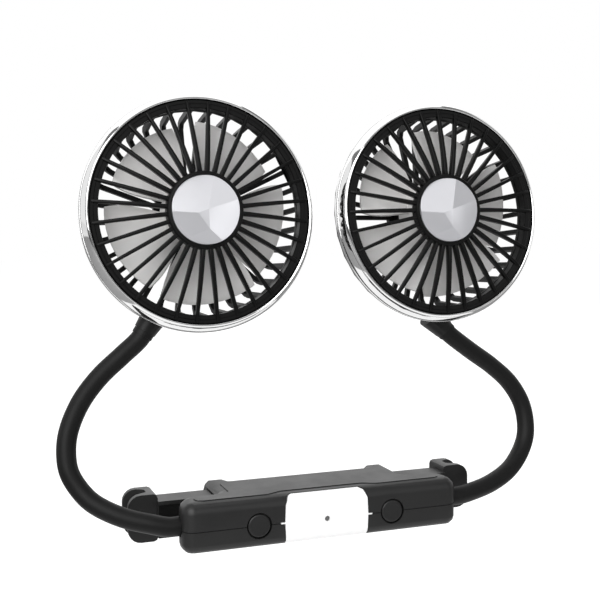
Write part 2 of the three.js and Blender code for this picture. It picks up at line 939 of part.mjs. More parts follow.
function neckRoute(neck) {
  const { side, bow, setback, rise, pathShares } = neck;
  const end = neckEnd(neck);
  const reach = Math.abs(end.x) + bow - boxHalf;
  const place = (out, back, up) => new THREE.Vector3(
    side * (boxHalf + out * reach),
    neckRootY + back * setback,
    neckRootZ + up * rise,
  );
  const root = place(0, 0, 0);
  const inward = new THREE.Vector3(-side, 0, 0);
  const lean = THREE.MathUtils.degToRad(neck.entryLean);
  const entry = new THREE.Vector3(Math.sin(lean), 0, Math.cos(lean));
  const rootEnd = neckRootDepth + anchorDepth - gap;
  const points = [
    root.clone().addScaledVector(inward, rootEnd),
    root.clone().addScaledVector(inward, neckRootDepth),
    root,
    place(neckStraightShare, 0, 0),
    ...pathShares.map((shares) => place(...shares)),
    end.clone().addScaledVector(entry, -sleeveRadius),
    end,
    end.clone().addScaledVector(entry, coreEntry),
  ];
  const path = new THREE.CatmullRomCurve3(points, false, 'centripetal');
  path.arcLengthDivisions = neckPathSteps;
  const length = path.getLength();
  const bends = [length * lowBendShare, length * leanShare, length - coreEntry - aimRun];
  return { path, length, bends, end, entry, start: rootEnd - neckRootDepth };
}

function onPath(path, distance) {
  return path.getPointAt(distance / path.getLength());
}

function neckSteps(first, last) {
  return Math.max(leastNeckSteps, Math.round((last - first) / neckStep));
}

// A sleeve length: a ball at its lower end, a cup at its upper end, and a bore for the core
function sleeve(route, from, to, index) {
  const { path, bends } = route;
  const first = index === 0 ? from : from + neckShoulder;
  const last = index < bends.length ? to - neckLip : to;
  let body = tube(new Stretch(path, first, last), sleeveRadius, neckSides, neckSteps(first, last));
  if (index > 0) {
    body = join(body, ball(onPath(path, from), neckBallRadius));
  }
  if (index < bends.length) {
    body = cut(body, ball(onPath(path, to), cupRadius()));
  }
  return cut(body, sleeveBore(route, from, to, index));
}

function ball(centre, radius) {
  const geometry = new THREE.SphereGeometry(radius, ballSides, ballSides / 2);
  return solid(geometry.translate(centre.x, centre.y, centre.z));
}

// The cup's flats clear the ball's corners as it turns
function cupRadius() {
  return (neckBallRadius + neckBallPlay) / Math.cos(Math.PI / ballSides) ** 2;
}

// The bore opens into the cup at one end and is plugged behind the ball at the other
function sleeveBore(route, from, to, index) {
  const first = index === 0 ? 0 : from + corePlug;
  const last = index < route.bends.length ? to : route.length;
  const stretch = new Stretch(route.path, first, last);
  return tube(stretch, clearRadius(coreRadius + gap, coreSides), coreSides, neckSteps(first, last));
}

function core(route, from, to, index) {
  const first = index === 0 ? 0 : from + corePlug + gap;
  const last = index < route.bends.length ? to - cupRadius() - gap : route.length;
  return tube(new Stretch(route.path, first, last), coreRadius, coreSides, neckSteps(first, last));
}

// The dark collar between the sleeve's end and the boss, with the core passing through it
function collar({ end, entry }) {
  const near = end.clone().addScaledVector(entry, -gap);
  const far = near.clone().addScaledVector(entry, -collarLength);
  const hole = rod(
    far.clone().addScaledVector(entry, -overrun),
    near.clone().addScaledVector(entry, overrun),
    clearRadius(coreRadius + gap, coreSides),
    coreSides,
  );
  return cut(rod(far, near, collarRadius, hubSides), hole);
}

// Fan heads, each round its own Y axis, with the grille rim's front at zero and the air side at -Y
function roundCopies(geometry, count, turn = 0) {
  return Array.from({ length: count }, (_, index) =>
    solid(geometry.clone().rotateY((2 * Math.PI * index) / count + turn)));
}

function bezel() {
  const inner = clearRadius(rimRadius + gap, bezelSides);
  const seat = clearRadius(bezelRadius - bezelWall, bezelSides);
  const face = bezelFaceShares.map(([across, back]) => [
    THREE.MathUtils.lerp(inner, bezelBandRadius, across),
    grooveStart * back,
  ]);
  const grooveEnd = grooveStart + grooveWidth;
  return turned([
    [inner, rimDepth],
    ...face,
    [bezelBandRadius, grooveStart],
    [bezelBandRadius - grooveDepth, grooveStart],
    [bezelBandRadius - grooveDepth, grooveEnd],
    [bezelRadius, grooveEnd],
    [bezelRadius, bezelDepth - bezelLipRound],
    [bezelRadius - bezelLipRound, bezelDepth],
    [seat, bezelDepth],
    [seat, rimDepth],
    [inner, rimDepth],
  ], bezelSides);
}

// A bar of even width whose side profile is given as (radius, depth) points
function barGeometry(outline, width) {
  const options = { depth: width, bevelEnabled: false };
  const geometry = new THREE.ExtrudeGeometry(new THREE.Shape(outline), options);
  return geometry.translate(0, 0, -width / 2).rotateY(-Math.PI / 2);
}

function ribOutline() {
  const inner = hubRimRadius - gap;
  const outer = rimRadius - ribProud;
  const front = ribRadiusShares.map((share, index) => new THREE.Vector2(
    THREE.MathUtils.lerp(inner, outer, share),
    -ribProud - ribBow * ribRiseShares[index],
  ));
  const back = front.map((point) => new THREE.Vector2(point.x, point.y + ribDepth)).reverse();
  return [...front, ...back];
}

function grille(neck) {
  const rim = turned([
    [rimInner, 0],
    [rimRadius, 0],
    [rimRadius, rimDepth],
    [rimInner, rimDepth],
    [rimInner, 0],
  ], ringSides);
  const seat = capFront - capThickness - gap;
  const hub = turned([
    [0, -seat],
    [capRadius + gap, -seat],
    [capRadius + gap, -hubRimFront],
    [hubRimRadius, -hubRimFront + gap],
    [hubRimRadius, -hubBackDepth],
    [0, -hubBackDepth],
  ], ringSides);
  const holes = headScrewPlaces(neck).map((place) => rod(
    new THREE.Vector3(place.x, rimDepth * (1 - headHoleDepthShare), place.z),
    new THREE.Vector3(place.x, rimDepth + overrun, place.z),
    clearRadius(headShankRadius + gap, screwSides),
    screwSides,
  ));
  const rib = barGeometry(ribOutline(), ribWidth);
  const ribs = roundCopies(rib, ribCount, ribPitch * neck.grilleTurnShare);
  return cut(join(rim, hub, ...ribs), ...holes);
}

// The angle of the neck boss, clockwise from the top seen from the front
function bossAngle(neck) {
  return Math.PI + THREE.MathUtils.degToRad(neck.bossClock);
}

function headScrewPlaces(neck) {
  return headScrewSteps.map((step) => {
    const angle = bossAngle(neck) + step * ribPitch;
    return new THREE.Vector3(headScrewCircle * Math.sin(angle), 0, headScrewCircle * Math.cos(angle));
  });
}

// The cap is a low gem: five facets round three inner corners, angles clockwise from the top
function hubCap() {
  const corners = {};
  Object.entries(capCornerShares).forEach(([name, [right, up, crown]]) => {
    corners[name] = new THREE.Vector3(right * capRadius, -capFront - crown * capCrown, up * capRadius);
  });
  const rimPoint = (angle, y) =>
    new THREE.Vector3(capRadius * Math.sin(angle), y, capRadius * Math.cos(angle));
  const positions = [];
  const triangle = (a, b, c) => positions.push(...a.toArray(), ...b.toArray(), ...c.toArray());
  const fan = (polygon) => {
    for (let index = 1; index + 1 < polygon.length; index += 1) {
      triangle(polygon[0], polygon[index], polygon[index + 1]);
    }
  };
  const backCentre = new THREE.Vector3(0, -capFront + capThickness, 0);
  const edges = capEdgeDegrees.map((degrees) => THREE.MathUtils.degToRad(degrees));
  edges.forEach((from, index) => {
    const to = index + 1 < edges.length ? edges[index + 1] : edges[0] + 2 * Math.PI;
    const arc = Array.from({ length: capArcSteps + 1 }, (_, step) =>
      THREE.MathUtils.lerp(from, to, step / capArcSteps));
    const rim = arc.map((angle) => rimPoint(angle, -capFront));
    const back = arc.map((angle) => rimPoint(angle, -capFront + capThickness));
    const inner = capFacets[index].map((name) => corners[name]);
    fan([...inner.slice(-1), ...rim, ...inner.slice(0, -1)]);
    for (let step = 0; step < capArcSteps; step += 1) {
      triangle(rim[step], back[step], back[step + 1]);
      triangle(rim[step], back[step + 1], rim[step + 1]);
      triangle(backCentre, back[step + 1], back[step]);
    }
  });
  triangle(corners.crest, corners.foot, corners.flank);
  const geometry = new THREE.BufferGeometry();
  geometry.setAttribute('position', new THREE.Float32BufferAttribute(positions, 3));
  return solid(geometry);
}

function impeller(neck) {
  const floor = impellerFront + impellerWall;
  const hole = clearRadius(shaftRadius + gap, hubSides);
  const hub = turned([
    [0, impellerFront],
    [impellerHubRadius - impellerWall, impellerFront],
    [impellerHubRadius, impellerFront + impellerWall],
    [impellerHubRadius, impellerRear],
    [impellerHubRadius - impellerWall, impellerRear],
    [impellerHubRadius - impellerWall, floor],
    [impellerBossRadius, floor],
    [impellerBossRadius, floor + impellerBossLength],
    [hole, floor + impellerBossLength],
    [hole, floor + gap],
    [0, floor + gap],
  ], hubSides);
  const turn = THREE.MathUtils.degToRad(neck.impellerTurn);
  return join(hub, ...roundCopies(bladeGeometry(), bladeCount, turn));
}

// The two faces of a blade, a helical plate that recedes clockwise seen from the front
function bladePoints() {
  const inner = impellerHubRadius - impellerWall / 2;
  const positions = [];
  [-1, 1].forEach((face) => {
    for (let i = 0; i <= bladeRadialSteps; i += 1) {
      const radius = THREE.MathUtils.lerp(inner, bladeTipRadius, i / bladeRadialSteps);
      for (let j = 0; j <= bladeChordSteps; j += 1) {
        const share = j / bladeChordSteps;
        const angle = THREE.MathUtils.degToRad(bladeSweep * share);
        const middle = bladeFront + bladeRun * share * (1 + bladeCamberShare * (1 - share));
        const y = middle + (face * bladeThickness) / 2;
        positions.push(radius * Math.sin(angle), y, radius * Math.cos(angle));
      }
    }
  });
  return positions;
}

// The order of the points round a blade's border
function bladeBorder() {
  const row = bladeChordSteps + 1;
  const along = Array.from({ length: bladeChordSteps }, (_, j) => j);
  const out = Array.from({ length: bladeRadialSteps }, (_, i) => i);
  return [
    ...along,
    ...out.map((i) => i * row + bladeChordSteps),
    ...along.map((j) => bladeRadialSteps * row + bladeChordSteps - j),
    ...out.map((i) => (bladeRadialSteps - i) * row),
  ];
}

function bladeGeometry() {
  const faces = [];
  const row = bladeChordSteps + 1;
  const sheet = (bladeRadialSteps + 1) * row;
  const quad = (a, b, c, d) => faces.push(a, b, c, a, c, d);
  for (let i = 0; i < bladeRadialSteps; i += 1) {
    for (let j = 0; j < bladeChordSteps; j += 1) {
      const a = i * row + j;
      quad(a, a + 1, a + row + 1, a + row);
      quad(a + sheet, a + sheet + row, a + sheet + row + 1, a + sheet + 1);
    }
  }
  const border = bladeBorder();
  border.forEach((a, index) => {
    const b = border[(index + 1) % border.length];
    quad(a, a + sheet, b + sheet, b);
  });
  const geometry = new THREE.BufferGeometry();
  geometry.setAttribute('position', new THREE.Float32BufferAttribute(bladePoints(), 3));
  geometry.setIndex(faces);
  return geometry;
}

function motor() {
  const hole = clearRadius(shaftRadius + gap, hubSides);
  return turned([
    [hole, motorFront - motorNoseLength],
    [motorNoseRadius, motorFront - motorNoseLength],
    [motorNoseRadius, motorFront],
    [motorRadius, motorFront],
    [motorRadius, motorBack],
    [hole, motorBack],
    [hole, motorFront - motorNoseLength],
  ], hubSides);
}

function motorShaft() {
  return rod(
    new THREE.Vector3(0, impellerFront + impellerWall + 2 * gap, 0),
    new THREE.Vector3(0, motorBack - gap, 0),
    shaftRadius,
  );
}

// A guard bar seen from its side: from the ring, back along the fan, round the bend, in to the plate
function guardBarOutline() {
  const side = rimInner - guardBarDraft;
  const plate = guardPlateRadius - gap;
  const bendInset = guardBend * guardBendShare;
  const outline = [
    [plate, guardDepth],
    [side + guardBarThickness - guardBend, guardDepth],
    [side + guardBarThickness - bendInset, guardDepth - bendInset],
    [side + guardBarThickness, guardDepth - guardBend],
    [rimInner + guardBarThickness, guardBarFront],
    [rimInner, guardBarFront],
    [side, guardDepth - guardBend],
    [side - guardBend / 2, guardBackInner],
    [plate, guardBackInner],
  ];
  return outline.map(([radius, depth]) => new THREE.Vector2(radius, depth));
}

// The ring that meets the grille, its spigot in the bezel and the flange behind the bezel
function guardRing() {
  const spigot = bezelRadius - bezelWall - gap;
  const flange = bezelRadius - guardFlangeInset;
  const flangeFront = bezelDepth + gap;
  const flangeRear = flangeFront + guardFlangeDepth;
  return turned([
    [rimInner, guardFront],
    [spigot, guardFront],
    [spigot, flangeFront],
    [flange, flangeFront],
    [flange, flangeRear],
    [flange - guardFlangeWall, flangeRear],
    [flange - guardFlangeWall, guardRingRear],
    [rimInner, guardRingRear],
    [rimInner, guardFront],
  ], ringSides);
}

function motorMount() {
  const cupInner = clearRadius(motorRadius + gap, hubSides);
  const plateFront = guardDepth - guardPlateThickness;
  return turned([
    [0, guardDepth],
    [guardPlateRadius, guardDepth],
    [guardPlateRadius, plateFront],
    [cupInner + motorCupWall, plateFront],
    [cupInner + motorCupWall, plateFront - motorCupDepth],
    [cupInner, plateFront - motorCupDepth],
    [cupInner, plateFront],
    [0, plateFront],
  ], ringSides);
}

function rearGuard(neck, mouth) {
  const bar = barGeometry(guardBarOutline(), guardBarWidth);
  const bars = roundCopies(bar, ribCount, bossAngle(neck) + ribPitch / 2);
  const holes = headScrewPlaces(neck).map((place) => rod(
    new THREE.Vector3(place.x, 0, place.z),
    new THREE.Vector3(place.x, guardDepth, place.z),
    clearRadius(headShankRadius + gap, screwSides),
    screwSides,
  ));
  return cut(join(guardRing(), motorMount(), ...bars, neckBoss(mouth)), ...holes, coreHole(mouth));
}

// The tapered boss that takes the neck, trimmed clear of the bezel and of the fan's space
function neckBoss({ face, entry }) {
  const inner = face.clone().addScaledVector(entry, neckBossLength);
  const boss = rod(face, inner, neckBossRadius, hubSides, neckBossRootRadius);
  const side = rimInner - guardBarDraft;
  const fanRoom = turned([
    [0, 0],
    [rimInner, 0],
    [rimInner, guardBarFront],
    [side, guardDepth - guardBend],
    [side, guardDepth],
    [0, guardDepth],
  ], ringSides);
  const bezelOuter = clearRadius(bezelRadius + gap, ringSides);
  const bezelRoom = turned([
    [0, -bezelDepth],
    [bezelOuter, -bezelDepth],
    [bezelOuter, bezelDepth + gap],
    [0, bezelDepth + gap],
  ], ringSides);
  return cut(boss, fanRoom, bezelRoom);
}

function coreHole({ face, entry }) {
  return rod(
    face.clone().addScaledVector(entry, -overrun),
    face.clone().addScaledVector(entry, coreEntry + gap),
    clearRadius(coreRadius + gap, coreSides),
    coreSides,
  );
}

function headScrew(place) {
  return screw(
    new THREE.Vector3(place.x, guardRingRear + gap, place.z),
    new THREE.Vector3(0, -1, 0),
    headScrewHeadRadius,
    headScrewHeadHeight,
    headShankRadius,
    headScrewLength,
  );
}

// Assembly: the box first, then each neck bend by bend with its head at the end
const fan = new THREE.Group();

function addBox() {
  const cutters = housingCutters();
  addPiece(fan, 'housing_top', housingTop(cutters), finishes.housing);
  addPiece(fan, 'housing_bottom', housingBottom(cutters), finishes.housing);
  addPiece(fan, 'centre_panel', centrePanel(), finishes.panel);
  addPiece(fan, 'indicator_lens', indicatorLens(), finishes.lens);
  addPiece(fan, 'circuit_board', circuitBoard(), finishes.board);
  addPiece(fan, 'cable_gland', cableGland(), finishes.rubber);
  bossPlaces().forEach((place, index) => {
    addPiece(fan, `housing_screw_${index + 1}`, housingScrew(place), finishes.steel);
  });
  [['left', -1], ['right', 1]].forEach(([name, side]) => {
    addPiece(fan, `${name}_button`, pushButton(side), finishes.button);
    addPiece(fan, `${name}_tact_switch`, tactSwitch(side), finishes.component);
    addPiece(fan, `${name}_neck_anchor`, neckAnchor(side), finishes.anchor);
    addPiece(fan, `${name}_clip_arm`, clipArm(side), finishes.housing);
    addPiece(fan, `${name}_arm_spring`, armSpring(side), finishes.steel);
  });
}

function addNeck(neck) {
  const route = neckRoute(neck);
  const sleeveEnd = route.length - coreEntry - collarLength - 2 * gap;
  const limits = [route.start, ...route.bends, sleeveEnd];
  let group = fan;
  let origin = new THREE.Vector3();
  limits.slice(1).forEach((to, index) => {
    const from = limits[index];
    if (index > 0) {
      const bend = onPath(route.path, from);
      const next = new THREE.Group();
      next.name = `${neck.name}_bend_${index}`;
      next.position.copy(bend).sub(origin);
      group.add(next);
      group = next;
      origin = bend;
    }
    const label = `${neck.name}_neck`;
    const part = index + 1;
    addPiece(group, `${label}_sleeve_${part}`, sleeve(route, from, to, index), finishes.rubber, origin);
    addPiece(group, `${label}_core_${part}`, core(route, from, to, index), finishes.brightSteel, origin);
  });
  addPiece(group, `${neck.name}_neck_collar`, collar(route), finishes.collar, origin);
  addHead(neck, route, group, origin);
}

// The head hangs on its neck: its centre follows from the neck's end and the boss's place on the guard
function addHead(neck, route, parent, origin) {
  const angle = bossAngle(neck);
  const out = new THREE.Vector3(Math.sin(angle), 0, Math.cos(angle));
  const face = out.multiplyScalar(neckBossReach).setY(neckBossBack);
  const sideways = new THREE.Vector3(1, 0, 0);
  const head = new THREE.Group();
  head.name = `${neck.name}_head`;
  head.rotation.x = -tiltAngle;
  head.position.copy(route.end).sub(origin).sub(face.clone().applyAxisAngle(sideways, -tiltAngle));
  parent.add(head);
  const mouth = { face, entry: route.entry.clone().applyAxisAngle(sideways, tiltAngle) };
  const add = (name, body, material) => addPiece(head, `${neck.name}_${name}`, body, material);
  add('front_ring', bezel(), finishes.bezel);
  add('front_grille', grille(neck), finishes.grille);
  add('hub_cap', hubCap(), finishes.cap);
  add('rear_guard', rearGuard(neck, mouth), finishes.shell);
  add('impeller', impeller(neck), finishes.blade);
  add('motor', motor(), finishes.steel);
  add('motor_shaft', motorShaft(), finishes.brightSteel);
  headScrewPlaces(neck).forEach((place, index) => {
    add(`head_screw_${index + 1}`, headScrew(place), finishes.steel);
  });
}

addBox();
addNeck(leftNeck);
addNeck(rightNeck);

export default fan;
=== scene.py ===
from math import cos, pi, radians, sin, sqrt

import bpy
from mathutils import Matrix, Vector


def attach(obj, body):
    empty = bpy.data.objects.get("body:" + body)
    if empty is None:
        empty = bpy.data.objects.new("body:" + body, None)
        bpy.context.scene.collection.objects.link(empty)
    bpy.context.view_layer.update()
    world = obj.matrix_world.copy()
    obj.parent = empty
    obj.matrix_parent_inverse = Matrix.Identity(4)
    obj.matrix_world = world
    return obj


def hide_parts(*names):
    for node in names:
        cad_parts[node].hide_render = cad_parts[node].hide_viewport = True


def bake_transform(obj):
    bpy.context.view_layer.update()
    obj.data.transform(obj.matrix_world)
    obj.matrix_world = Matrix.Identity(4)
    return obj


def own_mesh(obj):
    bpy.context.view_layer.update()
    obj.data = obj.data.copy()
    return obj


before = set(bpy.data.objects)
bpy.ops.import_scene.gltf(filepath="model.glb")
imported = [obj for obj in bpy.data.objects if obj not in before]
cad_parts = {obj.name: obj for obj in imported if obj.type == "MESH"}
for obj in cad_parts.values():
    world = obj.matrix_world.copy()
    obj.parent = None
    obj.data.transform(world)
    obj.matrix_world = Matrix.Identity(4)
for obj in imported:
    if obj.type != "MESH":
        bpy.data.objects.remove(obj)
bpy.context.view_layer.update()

# The studio: a camera at the photograph's angle, in front of the left fan and a little above the box,
# a white floor and surround, and large soft lamps all round. None of it belongs to the fan.
mm = 0.001
camera_azimuth = radians(19.96)
camera_elevation = radians(4.45)
camera_roll = radians(-0.466)
camera_place = Vector((-174.3, -479.22, 137.74)) * mm
camera_lens = 63.0
camera_sensor_width = 36
camera_near_limit = 10 * mm
floor_height = -120 * mm
floor_span = 12
floor_grey = 0.3
floor_seen_strength = 0.94
surround_strength = 0.25
surround_seen_strength = 1.0


def aimed(forward, roll=0.0):
    """The turn that points a camera or lamp along a direction."""
    level = Vector((forward.y, -forward.x, 0)).normalized()
    upward = level.cross(forward)
    right = level * cos(roll) + upward * sin(roll)
    up = upward * cos(roll) - level * sin(roll)
    return Matrix((right, up, -forward)).transposed().to_4x4()


view_direction = Vector((
    sin(camera_azimuth) * cos(camera_elevation),
    cos(camera_azimuth) * cos(camera_elevation),
    -sin(camera_elevation),
))
camera_data = bpy.data.cameras.new("camera")
camera_data.lens = camera_lens
camera_data.sensor_width = camera_sensor_width
camera_data.clip_start = camera_near_limit
camera = bpy.data.objects.new("camera", camera_data)
camera.matrix_world = Matrix.Translation(camera_place) @ aimed(view_direction, camera_roll)
bpy.context.collection.objects.link(camera)
bpy.context.scene.camera = camera
bpy.context.scene.view_settings.view_transform = "Standard"


def soft_lamp(name, place, target, size, brightness):
    """A square soft lamp, as bright per area as the given share of white."""
    lamp_data = bpy.data.lights.new(name, "AREA")
    lamp_data.shape = "SQUARE"
    lamp_data.size = size
    lamp_data.energy = pi * size * size * brightness
    lamp = bpy.data.objects.new(name, lamp_data)
    forward = (Vector(target) - Vector(place)).normalized()
    lamp.matrix_world = Matrix.Translation(place) @ aimed(forward)
    lamp.visible_camera = False
    bpy.context.collection.objects.link(lamp)


soft_lamp("lamp_key", place=(-0.75, -0.95, 0.75), target=(0, 0, 0.08), size=1.3, brightness=3.8)
soft_lamp("lamp_above", place=(0.0, 0.15, 1.2), target=(0, 0, 0.08), size=1.3, brightness=1.1)
soft_lamp("lamp_left", place=(-1.4, 0.6, 0.4), target=(0, 0, 0.1), size=1.9, brightness=0.75)
soft_lamp("lamp_right", place=(1.4, 0.5, 0.4), target=(0, 0, 0.1), size=1.9, brightness=0.8)
soft_lamp("lamp_front", place=(0.45, -1.3, 0.68), target=(0, 0, 0.14), size=1.0, brightness=0.85)
soft_lamp("lamp_low_right", place=(1.02, -1.2, 0.18), target=(0, 0, 0.14), size=0.5, brightness=1.2)
soft_lamp("lamp_below", place=(0.03, 0.02, -0.115), target=(0.03, 0.021, 0.14), size=0.5, brightness=0.75)
soft_lamp("lamp_behind", place=(0.1, 1.8, 1.0), target=(0, 0, 0.1), size=2.4, brightness=1.05)


def white_where_seen(tree, lit, seen):
    """Rays from the camera and through glass meet plain white; all other rays meet the lit shader."""
    nodes, links = tree.nodes, tree.links
    path = nodes.new("ShaderNodeLightPath")
    either = nodes.new("ShaderNodeMath")
    either.operation = "MAXIMUM"
    mix = nodes.new("ShaderNodeMixShader")
    links.new(path.outputs["Is Camera Ray"], either.inputs[0])
    links.new(path.outputs["Is Transmission Ray"], either.inputs[1])
    links.new(either.outputs[0], mix.inputs[0])
    links.new(lit, mix.inputs[1])
    links.new(seen, mix.inputs[2])
    return mix.outputs[0]


world = bpy.data.worlds.new("studio_surround")
bpy.context.scene.world = world
world.use_nodes = True
world.node_tree.nodes.clear()
surround_light = world.node_tree.nodes.new("ShaderNodeBackground")
surround_light.inputs["Strength"].default_value = surround_strength
surround_seen = world.node_tree.nodes.new("ShaderNodeBackground")
surround_seen.inputs["Color"].default_value = (1, 1, 1, 1)
surround_seen.inputs["Strength"].default_value = surround_seen_strength
world_output = world.node_tree.nodes.new("ShaderNodeOutputWorld")
world.node_tree.links.new(
    white_where_seen(world.node_tree, surround_light.outputs[0], surround_seen.outputs[0]),
    world_output.inputs["Surface"],
)

bpy.ops.object.select_all(action="DESELECT")
bpy.ops.mesh.primitive_plane_add(size=floor_span, location=(0, 0, floor_height))
floor = bpy.context.object
floor.name = "studio_floor"
floor_material = bpy.data.materials.new("studio_floor")
floor_material.use_nodes = True
floor_nodes = floor_material.node_tree.nodes
floor_nodes.clear()
floor_lit = floor_nodes.new("ShaderNodeBsdfDiffuse")
floor_lit.inputs["Color"].default_value = (floor_grey, floor_grey, floor_grey, 1)
floor_white = floor_nodes.new("ShaderNodeEmission")
floor_white.inputs["Strength"].default_value = floor_seen_strength
floor_sum = floor_nodes.new("ShaderNodeAddShader")
floor_material.node_tree.links.new(floor_lit.outputs[0], floor_sum.inputs[0])
floor_material.node_tree.links.new(floor_white.outputs[0], floor_sum.inputs[1])
floor_output = floor_nodes.new("ShaderNodeOutputMaterial")
floor_material.node_tree.links.new(
    white_where_seen(floor_material.node_tree, floor_lit.outputs[0], floor_sum.outputs[0]),
    floor_output.inputs["Surface"],
)
floor.data.materials.append(floor_material)

# The two halves of the control box: dark satin ABS mouldings with a fine spark grain, closed by four
# screws from below. Their solids are kept, with the edges eased as a mould leaves them.
housing_ease = 0.25
weld_distance = 0.002 * mm
flat_within = radians(0.6)

grain_group = bpy.data.node_groups.new("moulded_grain", "ShaderNodeTree")
grain_group.interface.new_socket("Vector", in_out="INPUT", socket_type="NodeSocketVector")
grain_group.interface.new_socket("Grain Scale", in_out="INPUT", socket_type="NodeSocketFloat")
grain_group.interface.new_socket("Cloud Scale", in_out="INPUT", socket_type="NodeSocketFloat")
grain_group.interface.new_socket("Height", in_out="OUTPUT", socket_type="NodeSocketFloat")
grain_group.interface.new_socket("Cloud", in_out="OUTPUT", socket_type="NodeSocketFloat")
grain_in = grain_group.nodes.new("NodeGroupInput")
grain_out = grain_group.nodes.new("NodeGroupOutput")
fine_noise = grain_group.nodes.new("ShaderNodeTexNoise")
fine_noise.inputs["Detail"].default_value = 3
cloud_noise = grain_group.nodes.new("ShaderNodeTexNoise")
cloud_noise.inputs["Detail"].default_value = 5
cloud_noise.inputs["Roughness"].default_value = 0.6
grain_group.links.new(grain_in.outputs["Vector"], fine_noise.inputs["Vector"])
grain_group.links.new(grain_in.outputs["Grain Scale"], fine_noise.inputs["Scale"])
grain_group.links.new(grain_in.outputs["Vector"], cloud_noise.inputs["Vector"])
grain_group.links.new(grain_in.outputs["Cloud Scale"], cloud_noise.inputs["Scale"])
grain_group.links.new(fine_noise.outputs["Fac"], grain_out.inputs["Height"])
grain_group.links.new(cloud_noise.outputs["Fac"], grain_out.inputs["Cloud"])


def moulded(name, shades, roughness, grain, bump, cloud=60, **sockets):
    """A surface whose colour and gloss drift a little between two values over a fine grain."""
    material = bpy.data.materials.new(name)
    material.use_nodes = True
    nodes, links = material.node_tree.nodes, material.node_tree.links
    shader = nodes["Principled BSDF"]
    place = nodes.new("ShaderNodeTexCoord")
    group = nodes.new("ShaderNodeGroup")
    group.node_tree = grain_group
    group.inputs["Grain Scale"].default_value = grain
    group.inputs["Cloud Scale"].default_value = cloud
    links.new(place.outputs["Object"], group.inputs["Vector"])
    tone = nodes.new("ShaderNodeMix")
    tone.data_type = "RGBA"
    tone.inputs["A"].default_value = (*shades[0], 1)
    tone.inputs["B"].default_value = (*shades[1], 1)
    links.new(group.outputs["Cloud"], tone.inputs["Factor"])
    links.new(tone.outputs["Result"], shader.inputs["Base Color"])
    gloss = nodes.new("ShaderNodeMapRange")
    gloss.inputs["To Min"].default_value = roughness[0]
    gloss.inputs["To Max"].default_value = roughness[1]
    gloss.inputs["From Min"].default_value = 0.3
    gloss.inputs["From Max"].default_value = 0.7
    links.new(group.outputs["Cloud"], gloss.inputs["Value"])
    links.new(gloss.outputs["Result"], shader.inputs["Roughness"])
    relief = nodes.new("ShaderNodeBump")
    relief.inputs["Distance"].default_value = bump
    relief.inputs["Strength"].default_value = 0.5
    links.new(group.outputs["Height"], relief.inputs["Height"])
    links.new(relief.outputs["Normal"], shader.inputs["Normal"])
    for socket, value in sockets.items():
        shader.inputs[socket.replace("_", " ")].default_value = value
    return material


def grey(level, warmth=0.0):
    """A grey of this level, a little redder where warmth is above zero."""
    return (level * (1 + warmth), level, level * (1 - warmth))


def alone(piece):
    """Selects this piece and nothing else."""
    bpy.ops.object.select_all(action="DESELECT")
    piece.select_set(True)
    bpy.context.view_layer.objects.active = piece
    return piece


def rounded_edges(piece, width, from_degrees, corners="MITER_SHARP"):
    """Rounds every edge of a piece that turns by more than the angle."""
    alone(piece)
    bevel = piece.modifiers.new("rounded_edges", "BEVEL")
    bevel.width = width * mm
    bevel.segments = 2
    bevel.limit_method = "ANGLE"
    bevel.angle_limit = radians(from_degrees)
    bevel.miter_outer = corners
    bpy.ops.object.modifier_apply(modifier=bevel.name)


def eased(node, name, material, ease=housing_ease, smooth=40):
    """A copy of a CAD node with its triangles merged, its sharp edges eased and its curves smooth."""
    piece = bpy.data.objects.new(name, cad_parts[node].data.copy())
    bpy.context.collection.objects.link(piece)
    alone(piece)
    bpy.ops.object.mode_set(mode="EDIT")
    bpy.ops.mesh.select_all(action="SELECT")
    bpy.ops.mesh.remove_doubles(threshold=weld_distance)
    bpy.ops.mesh.dissolve_limited(angle_limit=flat_within)
    bpy.ops.object.mode_set(mode="OBJECT")
    if piece.data.has_custom_normals:
        bpy.ops.mesh.customdata_custom_splitnormals_clear()
    rounded_edges(piece, ease, from_degrees=50, corners="MITER_ARC")
    bpy.ops.object.shade_smooth_by_angle(angle=radians(smooth))
    weigh = piece.modifiers.new("even_flats", "WEIGHTED_NORMAL")
    weigh.keep_sharp = True
    weigh.weight = 60
    bpy.ops.object.modifier_apply(modifier=weigh.name)
    piece.data.materials.clear()
    piece.data.materials.append(material)
    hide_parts(node)
    return piece


housing_plastic = moulded(
    "housing_plastic",
    shades=(grey(0.010), grey(0.014)),
    roughness=(0.36, 0.46),
    grain=1800,
    bump=0.03 * mm,
    Specular_IOR_Level=0.38,
)
for half in ("top", "bottom"):
    housing_half = eased(f"housing_{half}", f"box_{half}", housing_plastic)
    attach(housing_half, "box")

# The circuit board with its two tact switches, held upright in slotted ribs behind the front wall:
# green solder mask over woven glass, black switch bodies soldered on.
board_mask = moulded(
    "board_mask",
    shades=((0.01, 0.09, 0.035), (0.014, 0.12, 0.05)),
    roughness=(0.25, 0.4),
    grain=900,
    bump=0.02 * mm,
)
switch_black = moulded(
    "switch_black",
    shades=(grey(0.018), grey(0.026)),
    roughness=(0.4, 0.5),
    grain=1500,
    bump=0.02 * mm,
)


def dressed(node, material):
    """A CAD node whose shape is right gets its real finish."""
    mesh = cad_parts[node].data
    mesh.materials.clear()
    mesh.materials.append(material)


sides = {"left": -1, "right": 1}
dressed("circuit_board", board_mask)
for side in sides:
    dressed(f"{side}_tact_switch", switch_black)

# The two push buttons: the same dark plastic as the box, flush with it in a thin black groove, each
# with a shallow dished face, held by a flange behind the wall.
box_front = -34.3
seam_height = -1.2
button_offset = 33.05
button_radius = 5.4
button_side_end = 2.1
flange_radius = 6.4
flange_back = 3.3
stem_radius = 2
stem_back = 4.1


